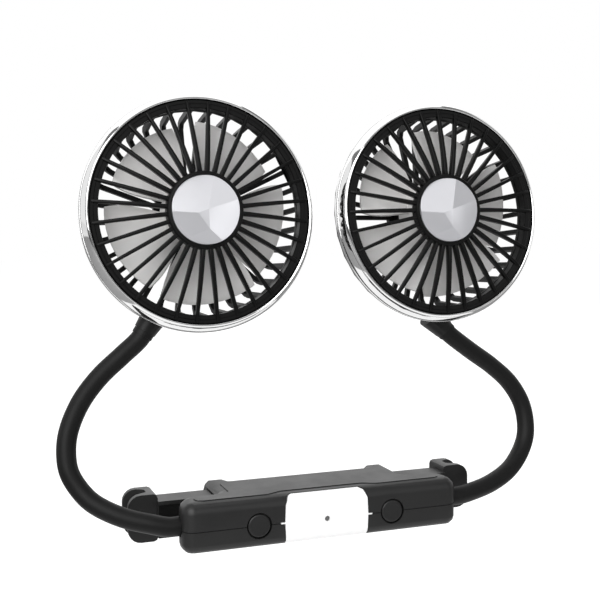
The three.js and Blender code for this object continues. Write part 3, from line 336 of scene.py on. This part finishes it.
def spun(name, profile, steps, material, smooth=32):
    """A closed ring or disc turned round the Y axis; the profile holds (radius, y) in millimetres."""
    bpy.ops.object.select_all(action="DESELECT")
    bpy.ops.mesh.primitive_plane_add(size=mm)
    piece = bpy.context.object
    piece.name = name
    bpy.ops.object.mode_set(mode="EDIT")
    bpy.ops.mesh.select_all(action="SELECT")
    bpy.ops.mesh.merge(type="CENTER")
    first = Vector((profile[0][0], profile[0][1], 0)) * mm
    bpy.ops.transform.translate(value=first)
    for here, there in zip(profile, profile[1:]):
        step = Vector((there[0] - here[0], there[1] - here[1], 0)) * mm
        bpy.ops.mesh.extrude_region_move(TRANSFORM_OT_translate={"value": step})
    bpy.ops.mesh.select_all(action="SELECT")
    bpy.ops.mesh.spin(steps=steps, angle=2 * pi, center=(0, 0, 0), axis=(0, 1, 0))
    bpy.ops.mesh.select_all(action="SELECT")
    bpy.ops.mesh.remove_doubles(threshold=weld_distance)
    bpy.ops.mesh.dissolve_degenerate(threshold=weld_distance / 2)
    bpy.ops.mesh.select_all(action="SELECT")
    bpy.ops.mesh.normals_make_consistent(inside=False)
    bpy.ops.object.mode_set(mode="OBJECT")
    bpy.ops.object.shade_smooth_by_angle(angle=radians(smooth))
    piece.data.materials.append(material)
    return piece


def settled(piece, placement):
    """Moves a piece to its place and leaves its object at the origin, unturned and unscaled."""
    piece.matrix_world = placement @ piece.matrix_world
    alone(piece)
    bpy.ops.object.transform_apply(location=True, rotation=True, scale=True)
    return piece


button_plastic = moulded(
    "button_plastic",
    shades=(grey(0.010), grey(0.013)),
    roughness=(0.34, 0.44),
    grain=1800,
    bump=0.02 * mm,
    Specular_IOR_Level=0.36,
)
button_profile = [
    (0, 0.1),
    (button_radius - 1.8, 0.08),
    (button_radius - 0.9, 0),
    (button_radius - 0.65, 0.02),
    (button_radius - 0.25, 0.22),
    (button_radius - 0.05, 0.5),
    (button_radius, 0.8),
    (button_radius, button_side_end),
    (flange_radius, button_side_end),
    (flange_radius, flange_back),
    (stem_radius, flange_back),
    (stem_radius, stem_back),
    (0, stem_back),
]
for side, sign in sides.items():
    button = spun(f"{side}_push_button", button_profile, steps=64, material=button_plastic)
    settled(button, Matrix.Translation(Vector((sign * button_offset, box_front, seam_height)) * mm))
    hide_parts(f"{side}_button")
    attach(button, f"{side}_button")

# The centre panel: polished white ABS that snaps over the front between the buttons, with a short
# tab along the seam on each side and a smoked pin through it for the light.
panel_ease = 0.15
pin_ease = 0.1
panel_white = moulded(
    "panel_white",
    shades=(grey(0.93), grey(0.96)),
    roughness=(0.08, 0.14),
    grain=500,
    bump=0.004 * mm,
    Coat_Weight=0.3,
    Coat_Roughness=0.05,
)
smoked_pin = moulded(
    "smoked_pin",
    shades=(grey(0.10), grey(0.16)),
    roughness=(0.15, 0.3),
    grain=1200,
    bump=0.01 * mm,
)
panel = eased("centre_panel", "white_panel", panel_white, ease=panel_ease, smooth=50)
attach(panel, "box")
pin = eased("indicator_lens", "light_pin", smoked_pin, ease=pin_ease)
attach(pin, "box")

# The clip arms: each one moulding in the box's plastic, a channel bar that slides in the box's side
# and a U clip that takes a headrest post, with its corners well rounded.
clip_ease = 0.8
for side in sides:
    arm = eased(f"{side}_clip_arm", f"{side}_arm", housing_plastic, ease=clip_ease)
    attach(arm, f"{side}_arm")

# The arm springs: coils of round spring-steel wire between the box's middle stop and the arms' inner
# ends. Each pushes its arm out; here each coil is fixed to the box at one length and does not shorten as
# the arm slides in.
spring_start = 3.0
spring_end = 31.7
spring_axis_y = -3.4
spring_axis_z = -0.7
spring_coil_radius = 3.05
spring_wire_radius = 0.45
spring_turns = 9
steps_in_a_turn = 20
spring_steel = moulded(
    "spring_steel",
    shades=(grey(0.42), grey(0.5)),
    roughness=(0.25, 0.4),
    grain=3000,
    bump=0.01 * mm,
    Metallic=1.0,
)


def wire_tube(name, points, radius, material, sides_round):
    """A round bar or tube through points in metres, closed at both ends."""
    curve = bpy.data.curves.new(name, "CURVE")
    curve.dimensions = "3D"
    curve.bevel_depth = radius
    curve.bevel_resolution = sides_round // 4
    curve.use_fill_caps = True
    spline = curve.splines.new("POLY")
    spline.points.add(len(points) - 1)
    for spot, point in zip(spline.points, points):
        spot.co = (*point, 1)
    piece = bpy.data.objects.new(name, curve)
    bpy.context.collection.objects.link(piece)
    alone(piece)
    bpy.ops.object.convert(target="MESH")
    piece = bpy.context.object
    bpy.ops.object.mode_set(mode="EDIT")
    bpy.ops.mesh.select_all(action="SELECT")
    bpy.ops.mesh.remove_doubles(threshold=weld_distance)
    bpy.ops.mesh.normals_make_consistent(inside=False)
    bpy.ops.object.mode_set(mode="OBJECT")
    bpy.ops.object.shade_smooth_by_angle(angle=radians(40))
    piece.data.materials.clear()
    piece.data.materials.append(material)
    return piece


for side, sign in sides.items():
    coil_points = []
    coil_steps = spring_turns * steps_in_a_turn
    wire_run = spring_end - spring_start - 2 * spring_wire_radius
    for step in range(coil_steps + 1):
        share = step / coil_steps
        angle = 2 * pi * spring_turns * share
        coil_points.append(Vector((
            sign * (spring_start + spring_wire_radius + wire_run * share),
            spring_axis_y + spring_coil_radius * cos(angle),
            spring_axis_z + spring_coil_radius * sin(angle),
        )) * mm)
    coil = wire_tube(
        f"{side}_coil_spring", coil_points, spring_wire_radius * mm, spring_steel, sides_round=8)
    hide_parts(f"{side}_arm_spring")
    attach(coil, "box")
    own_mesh(coil)

# Small fixed parts of the box: nylon blocks that trap the neck roots, a rubber gland in the rear
# wall, and four zinc-plated screws in deep holes underneath.
gland_ease = 0.2
housing_screw_count = 4
nylon = moulded(
    "nylon",
    shades=(grey(0.04), grey(0.05)),
    roughness=(0.45, 0.55),
    grain=1200,
    bump=0.02 * mm,
)
soft_rubber = moulded(
    "soft_rubber",
    shades=(grey(0.011), grey(0.015)),
    roughness=(0.55, 0.7),
    grain=1500,
    bump=0.03 * mm,
)
zinc_plate = moulded(
    "zinc_plate",
    shades=(grey(0.5, 0.02), grey(0.6, 0.02)),
    roughness=(0.25, 0.4),
    grain=2200,
    bump=0.01 * mm,
    Metallic=1.0,
)
gland = eased("cable_gland", "rubber_gland", soft_rubber, ease=gland_ease)
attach(gland, "box")
for side in sides:
    dressed(f"{side}_neck_anchor", nylon)
for number in range(1, housing_screw_count + 1):
    dressed(f"housing_screw_{number}", zinc_plate)

# The goosenecks: a smooth black rubber sleeve drawn over a bendable steel core, closed by a dark band
# at the head. Each sleeve is one tube, in three stretches that meet where nothing bends, and each
# stretch runs a little into the next so that no seam shows.
neck_radius = 4.5
box_half_length = 68
neck_root_y = -24.4
anchor_reach = 16.4
anchor_run = 8.5
neck_straight_share = 0.1
low_bend_share = 0.335
lean_share = 0.5
core_entry = 2.4
core_count = 4
collar_radius = 4.9
collar_stations = [2.5, 1.3, 0.05]
collar_room = 2.2
neck_overlap = 0.3
bend_reaches = [9, 9, 12]
steps_in_a_span = 12
sleeve_step = 1.5
fewest_sleeve_steps = 8
neck_routes = {
    "left": {
        "reach": 46.714, "setback": 18.9, "rise": 86.8, "entry_lean": 35, "aim_run": 17, "end_out": 0.21651,
        "shares": [
            (0.26, 0.06, 0.02), (0.53, 0.27, 0.06), (0.78, 0.56, 0.13), (0.90, 0.75, 0.20),
            (0.985, 0.89, 0.29), (1, 1.01, 0.395), (0.964, 1.09, 0.50), (0.84, 1.16, 0.64),
            (0.655, 1.17, 0.765), (0.435, 1.12, 0.873),
        ],
    },
    "right": {
        "reach": 55.892, "setback": 23.5, "rise": 80.5, "entry_lean": -48, "aim_run": 17, "end_out": 0.1752,
        "shares": [
            (0.22, 0.07, 0.005), (0.497, 0.26, 0.035), (0.757, 0.49, 0.103), (0.94, 0.706, 0.22),
            (1, 0.81, 0.32), (0.991, 0.94, 0.477), (0.877, 1.017, 0.622), (0.689, 1.05, 0.742),
            (0.47, 1.034, 0.846),
        ],
    },
}


def between(p0, p1, p2, p3, share):
    """A point on a centripetal curve through four route points, between the middle two."""
    t1 = sqrt((p1 - p0).length)
    t2 = t1 + sqrt((p2 - p1).length)
    t3 = t2 + sqrt((p3 - p2).length)
    t = t1 + (t2 - t1) * share
    a1 = p0 * ((t1 - t) / t1) + p1 * (t / t1)
    a2 = p1 * ((t2 - t) / (t2 - t1)) + p2 * ((t - t1) / (t2 - t1))
    a3 = p2 * ((t3 - t) / (t3 - t2)) + p3 * ((t - t2) / (t3 - t2))
    b1 = a1 * ((t2 - t) / t2) + a2 * (t / t2)
    b2 = a2 * ((t3 - t) / (t3 - t1)) + a3 * ((t - t1) / (t3 - t1))
    return b1 * ((t2 - t) / (t2 - t1)) + b2 * ((t - t1) / (t2 - t1))


def neck_line(route, sign):
    """The neck's centre line in metres, finely stepped, and its length at every step."""
    def at(out, back, up):
        return Vector((
            sign * (box_half_length + out * route["reach"]),
            neck_root_y + back * route["setback"],
            up * route["rise"],
        )) * mm

    lean = radians(route["entry_lean"])
    entry = Vector((sin(lean), 0, cos(lean)))
    root, end = at(0, 0, 0), at(route["end_out"], 1, 1)
    inward = Vector((-sign, 0, 0)) * mm
    stops = [root + inward * anchor_reach, root + inward * anchor_run, root, at(neck_straight_share, 0, 0)]
    stops += [at(*shares) for shares in route["shares"]]
    stops += [end - entry * neck_radius * mm, end, end + entry * core_entry * mm]
    stops = [stops[0] * 2 - stops[1], *stops, stops[-1] * 2 - stops[-2]]
    line = [stops[1].copy()]
    for index in range(1, len(stops) - 2):
        for step in range(1, steps_in_a_span + 1):
            line.append(between(*stops[index - 1:index + 3], step / steps_in_a_span))
    reached = [0.0]
    for here, there in zip(line, line[1:]):
        reached.append(reached[-1] + (there - here).length)
    return line, reached


def line_point(line, reached, distance):
    """The point at a distance along a line."""
    for index in range(1, len(line)):
        if reached[index] >= distance:
            share = (distance - reached[index - 1]) / (reached[index] - reached[index - 1])
            return line[index - 1].lerp(line[index], share)
    return line[-1].copy()


sleeve_rubber = moulded(
    "sleeve_rubber",
    shades=(grey(0.004), grey(0.006)),
    roughness=(0.44, 0.56),
    grain=900,
    bump=0.02 * mm,
    cloud=35,
    Specular_IOR_Level=0.2,
)
core_steel = moulded(
    "core_steel",
    shades=(grey(0.45), grey(0.55)),
    roughness=(0.25, 0.35),
    grain=2500,
    bump=0.01 * mm,
    Metallic=1.0,
)
for side, sign in sides.items():
    route = neck_routes[side]
    line, reached = neck_line(route, sign)
    whole = reached[-1]
    start = (anchor_reach - anchor_run) * mm
    sleeve_end = whole - (core_entry + collar_room) * mm
    bends = [whole * low_bend_share, whole * lean_share, whole - (core_entry + route["aim_run"]) * mm]
    joins = [start, (bends[0] + bends[1]) / 2, (bends[1] + bends[2]) / 2, sleeve_end]
    last = len(bends) - 1
    for index, bend in enumerate(bends):
        low = joins[index]
        high = joins[index + 1] + (0 if index == last else neck_overlap * mm)
        count = max(fewest_sleeve_steps, round((high - low) / (sleeve_step * mm)))
        points = [line_point(line, reached, low + (high - low) * step / count) for step in range(count + 1)]
        sleeve = wire_tube(
            f"{side}_sleeve_{index + 1}", points, neck_radius * mm, sleeve_rubber, sides_round=32)
        nodes = [f"{side}_neck_sleeve_{index + 1}"]
        if index == last:
            nodes.append(f"{side}_neck_sleeve_{index + 2}")
        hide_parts(*nodes)
        reach = bend_reaches[index] * mm
        middle = line_point(line, reached, bend)
        before = line_point(line, reached, bend - reach)
        after = line_point(line, reached, bend + reach)
        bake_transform(sleeve)
    for number in range(1, core_count + 1):
        dressed(f"{side}_neck_core_{number}", core_steel)
    band = [line_point(line, reached, whole - (core_entry + station) * mm) for station in collar_stations]
    collar = wire_tube(f"{side}_collar", band, collar_radius * mm, sleeve_rubber, sides_round=48)
    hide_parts(f"{side}_neck_collar")
    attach(collar, f"{side}_head")

# The rear guards: each one black moulding, an open cage of bent bars between a ring that meets the
# grille and a plate for the motor, with the boss that takes the neck. Its solid is kept, edges eased.
guard_ease = 0.35
shell_plastic = moulded(
    "shell_plastic",
    shades=(grey(0.004), grey(0.006)),
    roughness=(0.4, 0.5),
    grain=1600,
    bump=0.02 * mm,
    Specular_IOR_Level=0.25,
)
for side in sides:
    guard = eased(f"{side}_rear_guard", f"{side}_guard", shell_plastic, ease=guard_ease)
    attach(guard, f"{side}_head")

# The motors: zinc-plated steel cans seated in the guards' cups, each with a ground steel shaft, and the
# three plated screws that hold each grille to its guard from behind.
can_ease = 0.3
head_screw_count = 3
for side in sides:
    can = eased(f"{side}_motor", f"{side}_motor_can", zinc_plate, ease=can_ease)
    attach(can, f"{side}_head")
    dressed(f"{side}_motor_shaft", core_steel)
    for number in range(1, head_screw_count + 1):
        dressed(f"{side}_head_screw_{number}", zinc_plate)

# The impellers: five twisted blades round a hub cup, one moulding in pale grey plastic pressed on the
# motor's shaft. The right one has come to rest a few degrees round from the left.
head_tilt = radians(6.6)
head_places = {
    "left": Vector((-52.25, -14.802, 141.259)) * mm,
    "right": Vector((72.65, -9.542, 140.667)) * mm,
}
cup_radius = 16
cup_bore = 14.4
cup_front = 3.2
cup_floor = 4.8
cup_back = 17.9
shaft_boss_radius = 3.5
shaft_boss_back = 7.4
shaft_bore = 1.35
shaft_bore_front = 5.1
blade_count = 5
blade_root = 15.4
blade_tip = 42
blade_front = 5.2
blade_run = 12
blade_sweep_degrees = 60
blade_flare_degrees = 24
blade_cup_share = 0.4
blade_wall = 1.2
blade_rounding = 0.3
right_impeller_turn = radians(-18)
blade_plastic = moulded(
    "blade_plastic",
    shades=(grey(0.78, 0.012), grey(0.84, 0.012)),
    roughness=(0.35, 0.45),
    grain=1400,
    bump=0.015 * mm,
)


def joined(name, *pieces):
    """Joins pieces into the first of them."""
    alone(pieces[0])
    for piece in pieces:
        piece.select_set(True)
    bpy.ops.object.join()
    pieces[0].name = name
    return pieces[0]


def ring_copies(piece, count, name):
    """Copies a piece evenly round the Y axis and joins the copies."""
    copies = [piece]
    for index in range(1, count):
        copy = bpy.data.objects.new(f"{name}_{index}", piece.data.copy())
        copy.matrix_world = Matrix.Rotation(2 * pi * index / count, 4, "Y") @ piece.matrix_world
        bpy.context.collection.objects.link(copy)
        copies.append(copy)
    joined(name, *copies)
    bpy.ops.object.transform_apply(location=True, rotation=True, scale=True)
    return piece


def in_both_heads(pattern, part, body, left_turn=0.0, right_turn=0.0):
    """Sets a copy of a pattern made at the origin in each head, then removes the pattern."""
    for side, turn in (("left", left_turn), ("right", right_turn)):
        piece = bpy.data.objects.new(f"{side}_{part}_looks", pattern.data.copy())
        bpy.context.collection.objects.link(piece)
        placement = Matrix.Translation(head_places[side]) @ Matrix.Rotation(-head_tilt, 4, "X")
        settled(piece, placement @ Matrix.Rotation(turn, 4, "Y"))
        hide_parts(f"{side}_{part}")
        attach(piece, f"{side}_{body}")
    bpy.data.objects.remove(pattern)


cup = spun("impeller_hub", [
    (0, cup_front),
    (cup_radius - 1.8, cup_front),
    (cup_radius - 0.7, cup_front + 0.4),
    (cup_radius - 0.1, cup_front + 1.3),
    (cup_radius, cup_front + 2.2),
    (cup_radius, cup_back),
    (cup_bore, cup_back),
    (cup_bore, cup_floor),
    (shaft_boss_radius, cup_floor),
    (shaft_boss_radius, shaft_boss_back),
    (shaft_bore, shaft_boss_back),
    (shaft_bore, shaft_bore_front),
    (0, shaft_bore_front),
], steps=72, material=blade_plastic)
bpy.ops.object.select_all(action="DESELECT")
bpy.ops.mesh.primitive_grid_add(x_subdivisions=12, y_subdivisions=10, size=1)
blade = bpy.context.object
grid_half = 0.5
for vertex in blade.data.vertices:
    share, outward = vertex.co.x + grid_half, vertex.co.y + grid_half
    radius = blade_root + (blade_tip - blade_root) * outward
    flare = blade_flare_degrees * outward * (1 - outward) * (share - 0.5)
    angle = radians(blade_sweep_degrees * share + flare)
    depth = blade_front + blade_run * share * (1 + blade_cup_share * (1 - share))
    vertex.co = Vector((radius * sin(angle), depth, radius * cos(angle))) * mm
alone(blade)
wall = blade.modifiers.new("wall", "SOLIDIFY")
wall.thickness = blade_wall * mm
wall.offset = 0
bpy.ops.object.modifier_apply(modifier=wall.name)
rounded_edges(blade, blade_rounding, from_degrees=50)
bpy.ops.object.mode_set(mode="EDIT")
bpy.ops.mesh.select_all(action="SELECT")
bpy.ops.mesh.normals_make_consistent(inside=False)
bpy.ops.object.mode_set(mode="OBJECT")
bpy.ops.object.shade_smooth_by_angle(angle=radians(40))
blade.data.materials.append(blade_plastic)
blades = ring_copies(blade, blade_count, "impeller_blades")
impeller = joined("impeller_looks", cup, blades)
in_both_heads(impeller, "impeller", "rotor", right_turn=right_impeller_turn)

# The front grilles: each one black moulding, a rim with a fine line round its face, 32 bowed ribs that
# narrow outwards, and the round seat for the hub cap. The left one stands half a rib's pitch round.
rim_bore = 47.2
rim_radius = 51
rim_depth = 5
rim_line_radius = 49.35
rib_count = 32
rib_start = 16.9
rib_end = 50.7
rib_front = -0.45
rib_bow = 5.3
rib_bow_power = 1.6
rib_width = 2.0
rib_width_loss = 0.55
rib_depth = 3.5
rib_depth_loss = 0.6
rib_steps = 8
rib_rounding = 0.4
seat_floor = -4.3
seat_bore = 16.0
seat_lip = -6.5
seat_radius = 17.8
seat_back = -1.2
grille_plastic = moulded(
    "grille_plastic",
    shades=(grey(0.003), grey(0.005)),
    roughness=(0.3, 0.4),
    grain=1200,
    bump=0.012 * mm,
    Specular_IOR_Level=0.14,
)


def drawn_bar(name, stations, material, rounding):
    """A bar of box section drawn through stations of (radius, front, width, depth), rising along +Z."""
    bpy.ops.object.select_all(action="DESELECT")
    bpy.ops.mesh.primitive_plane_add(size=1)
    piece = bpy.context.object
    piece.name = name
    radius, front, width, depth = stations[0]
    bpy.ops.object.mode_set(mode="EDIT")
    bpy.ops.mesh.select_all(action="SELECT")
    bpy.ops.transform.resize(value=(width * mm, depth * mm, 1))
    bpy.ops.transform.translate(value=Vector((0, front + depth / 2, radius)) * mm)
    for here, there in zip(stations, stations[1:]):
        rise = Vector((0, (there[1] + there[3] / 2) - (here[1] + here[3] / 2), there[0] - here[0])) * mm
        bpy.ops.mesh.extrude_region_move(TRANSFORM_OT_translate={"value": rise})
        bpy.ops.transform.resize(value=(there[2] / here[2], there[3] / here[3], 1))
    bpy.ops.mesh.select_all(action="SELECT")
    bpy.ops.mesh.normals_make_consistent(inside=False)
    bpy.ops.object.mode_set(mode="OBJECT")
    rounded_edges(piece, rounding, from_degrees=60)
    bpy.ops.object.shade_smooth_by_angle(angle=radians(50))
    piece.data.materials.append(material)
    return piece


rim = spun("grille_rim", [
    (rim_bore, rim_depth),
    (rim_bore, 0.35),
    (rim_bore + 0.25, 0),
    (rim_line_radius - 0.15, 0),
    (rim_line_radius, 0.15),
    (rim_line_radius + 0.15, 0),
    (rim_radius - 0.25, 0),
    (rim_radius, 0.3),
    (rim_radius, rim_depth),
    (rim_bore, rim_depth),
], steps=128, material=grille_plastic)
rib_stations = []
for step in range(rib_steps + 1):
    share = step / rib_steps
    rib_stations.append((
        rib_start + (rib_end - rib_start) * share,
        rib_front - rib_bow * (1 - share ** rib_bow_power),
        rib_width - rib_width_loss * share,
        rib_depth - rib_depth_loss * share,
    ))
rib = drawn_bar("grille_rib", rib_stations, grille_plastic, rib_rounding)
ribs = ring_copies(rib, rib_count, "grille_ribs")
seat = spun("grille_hub", [
    (0, seat_floor),
    (seat_bore, seat_floor),
    (seat_bore, seat_lip + 0.2),
    (seat_bore + 0.15, seat_lip),
    (seat_radius - 0.6, seat_lip + 0.2),
    (seat_radius - 0.2, seat_lip + 0.6),
    (seat_radius, seat_lip + 1.3),
    (seat_radius, seat_back - 0.3),
    (seat_radius - 0.3, seat_back),
    (0, seat_back),
], steps=96, material=grille_plastic)
grille = joined("front_grille_looks", rim, ribs, seat)
in_both_heads(grille, "front_grille", "head", left_turn=pi / rib_count)

# The hub caps: discs with a pearl finish, pressed into the grilles' seats. Flat planes cut each face
# into facets round three inner corners, as a stone is cut.
cap_radius = 15.7
cap_front = -6.95
cap_crown = 2.4
cap_blank_front = -9.6
cap_back = -4.6
facet_rounding = 0.12
facet_edge_degrees = [7, 76, 156, 223, 264]
inner_corner_shares = [(0.03, 0.0, 1.0), (0.03, -0.57, 0.72), (-0.27, -0.11, 0.9)]
inner_corners_of_facets = [[0], [1, 0], [1], [2, 1], [0, 2]]
pearl = moulded(
    "pearl_cap",
    shades=((0.62, 0.62, 0.65), (0.67, 0.67, 0.70)),
    roughness=(0.14, 0.2),
    grain=4000,
    bump=0.003 * mm,
    Metallic=0.4,
)
cap = spun("hub_gem", [
    (0, cap_blank_front),
    (cap_radius - 0.15, cap_blank_front),
    (cap_radius, cap_blank_front + 0.2),
    (cap_radius, cap_back - 0.15),
    (cap_radius - 0.2, cap_back),
    (0, cap_back),
], steps=128, material=pearl)
inner_corners = []
for out, up, height_share in inner_corner_shares:
    corner = Vector((out * cap_radius, cap_front - height_share * cap_crown, up * cap_radius)) * mm
    inner_corners.append(corner)
facet_planes = [inner_corners]
for index, low in enumerate(facet_edge_degrees):
    high = facet_edge_degrees[(index + 1) % len(facet_edge_degrees)]
    outer = []
    for edge in (radians(low), radians(high)):
        outer.append(Vector((sin(edge) * cap_radius, cap_front, cos(edge) * cap_radius)) * mm)
    inner = [inner_corners[number] for number in inner_corners_of_facets[index]]
    facet_planes.append([*inner, *outer] if len(inner) == 1 else [*inner, (outer[0] + outer[1]) / 2])
alone(cap)
bpy.ops.object.mode_set(mode="EDIT")
for one, two, three in facet_planes:
    normal = (two - one).cross(three - one).normalized()
    if normal.y > 0:
        normal = -normal
    bpy.ops.mesh.select_all(action="SELECT")
    bpy.ops.mesh.bisect(plane_co=one, plane_no=normal, use_fill=True, clear_outer=True)
bpy.ops.mesh.select_all(action="SELECT")
bpy.ops.mesh.normals_make_consistent(inside=False)
bpy.ops.object.mode_set(mode="OBJECT")
rounded_edges(cap, facet_rounding, from_degrees=5)
bpy.ops.object.shade_smooth_by_angle(angle=radians(4))
in_both_heads(cap, "hub_cap", "head")

# The bezels: chrome-plated rings that snap over the grille's rim and clamp the head together. Each
# rises from its bore to a crest, sweeps back to a thin groove, and ends in a straight lip.
bezel_radius = 55.0
bezel_bore = 51.38
bezel_seat = 4.95
bezel_depth = 8.5
lip_bore = 53.15
groove_floor = 54.05
groove_front = 4.72
groove_back = 5.28
chrome = moulded(
    "chrome_plate",
    shades=(grey(0.80), grey(0.86)),
    roughness=(0.05, 0.09),
    grain=700,
    bump=0.002 * mm,
    Metallic=1.0,
)
bezel = spun("bezel_looks", [
    (bezel_bore, bezel_seat),
    (bezel_bore, 0.15),
    (51.5, -0.12),
    (51.8, -0.36),
    (52.2, -0.47),
    (52.7, -0.2),
    (53.2, 0.45),
    (53.65, 1.3),
    (54.05, 2.3),
    (54.35, 3.3),
    (54.55, 4.2),
    (54.6, 4.65),
    (groove_floor, groove_front),
    (groove_floor, groove_back),
    (bezel_radius - 0.1, groove_back + 0.04),
    (bezel_radius, groove_back + 0.17),
    (bezel_radius, bezel_depth - 0.9),
    (bezel_radius - 0.2, bezel_depth - 0.5),
    (bezel_radius - 0.7, bezel_depth - 0.05),
    (lip_bore, bezel_depth),
    (lip_bore, bezel_seat + 0.05),
    (bezel_bore, bezel_seat),
], steps=160, material=chrome, smooth=40)
in_both_heads(bezel, "front_ring", "head")
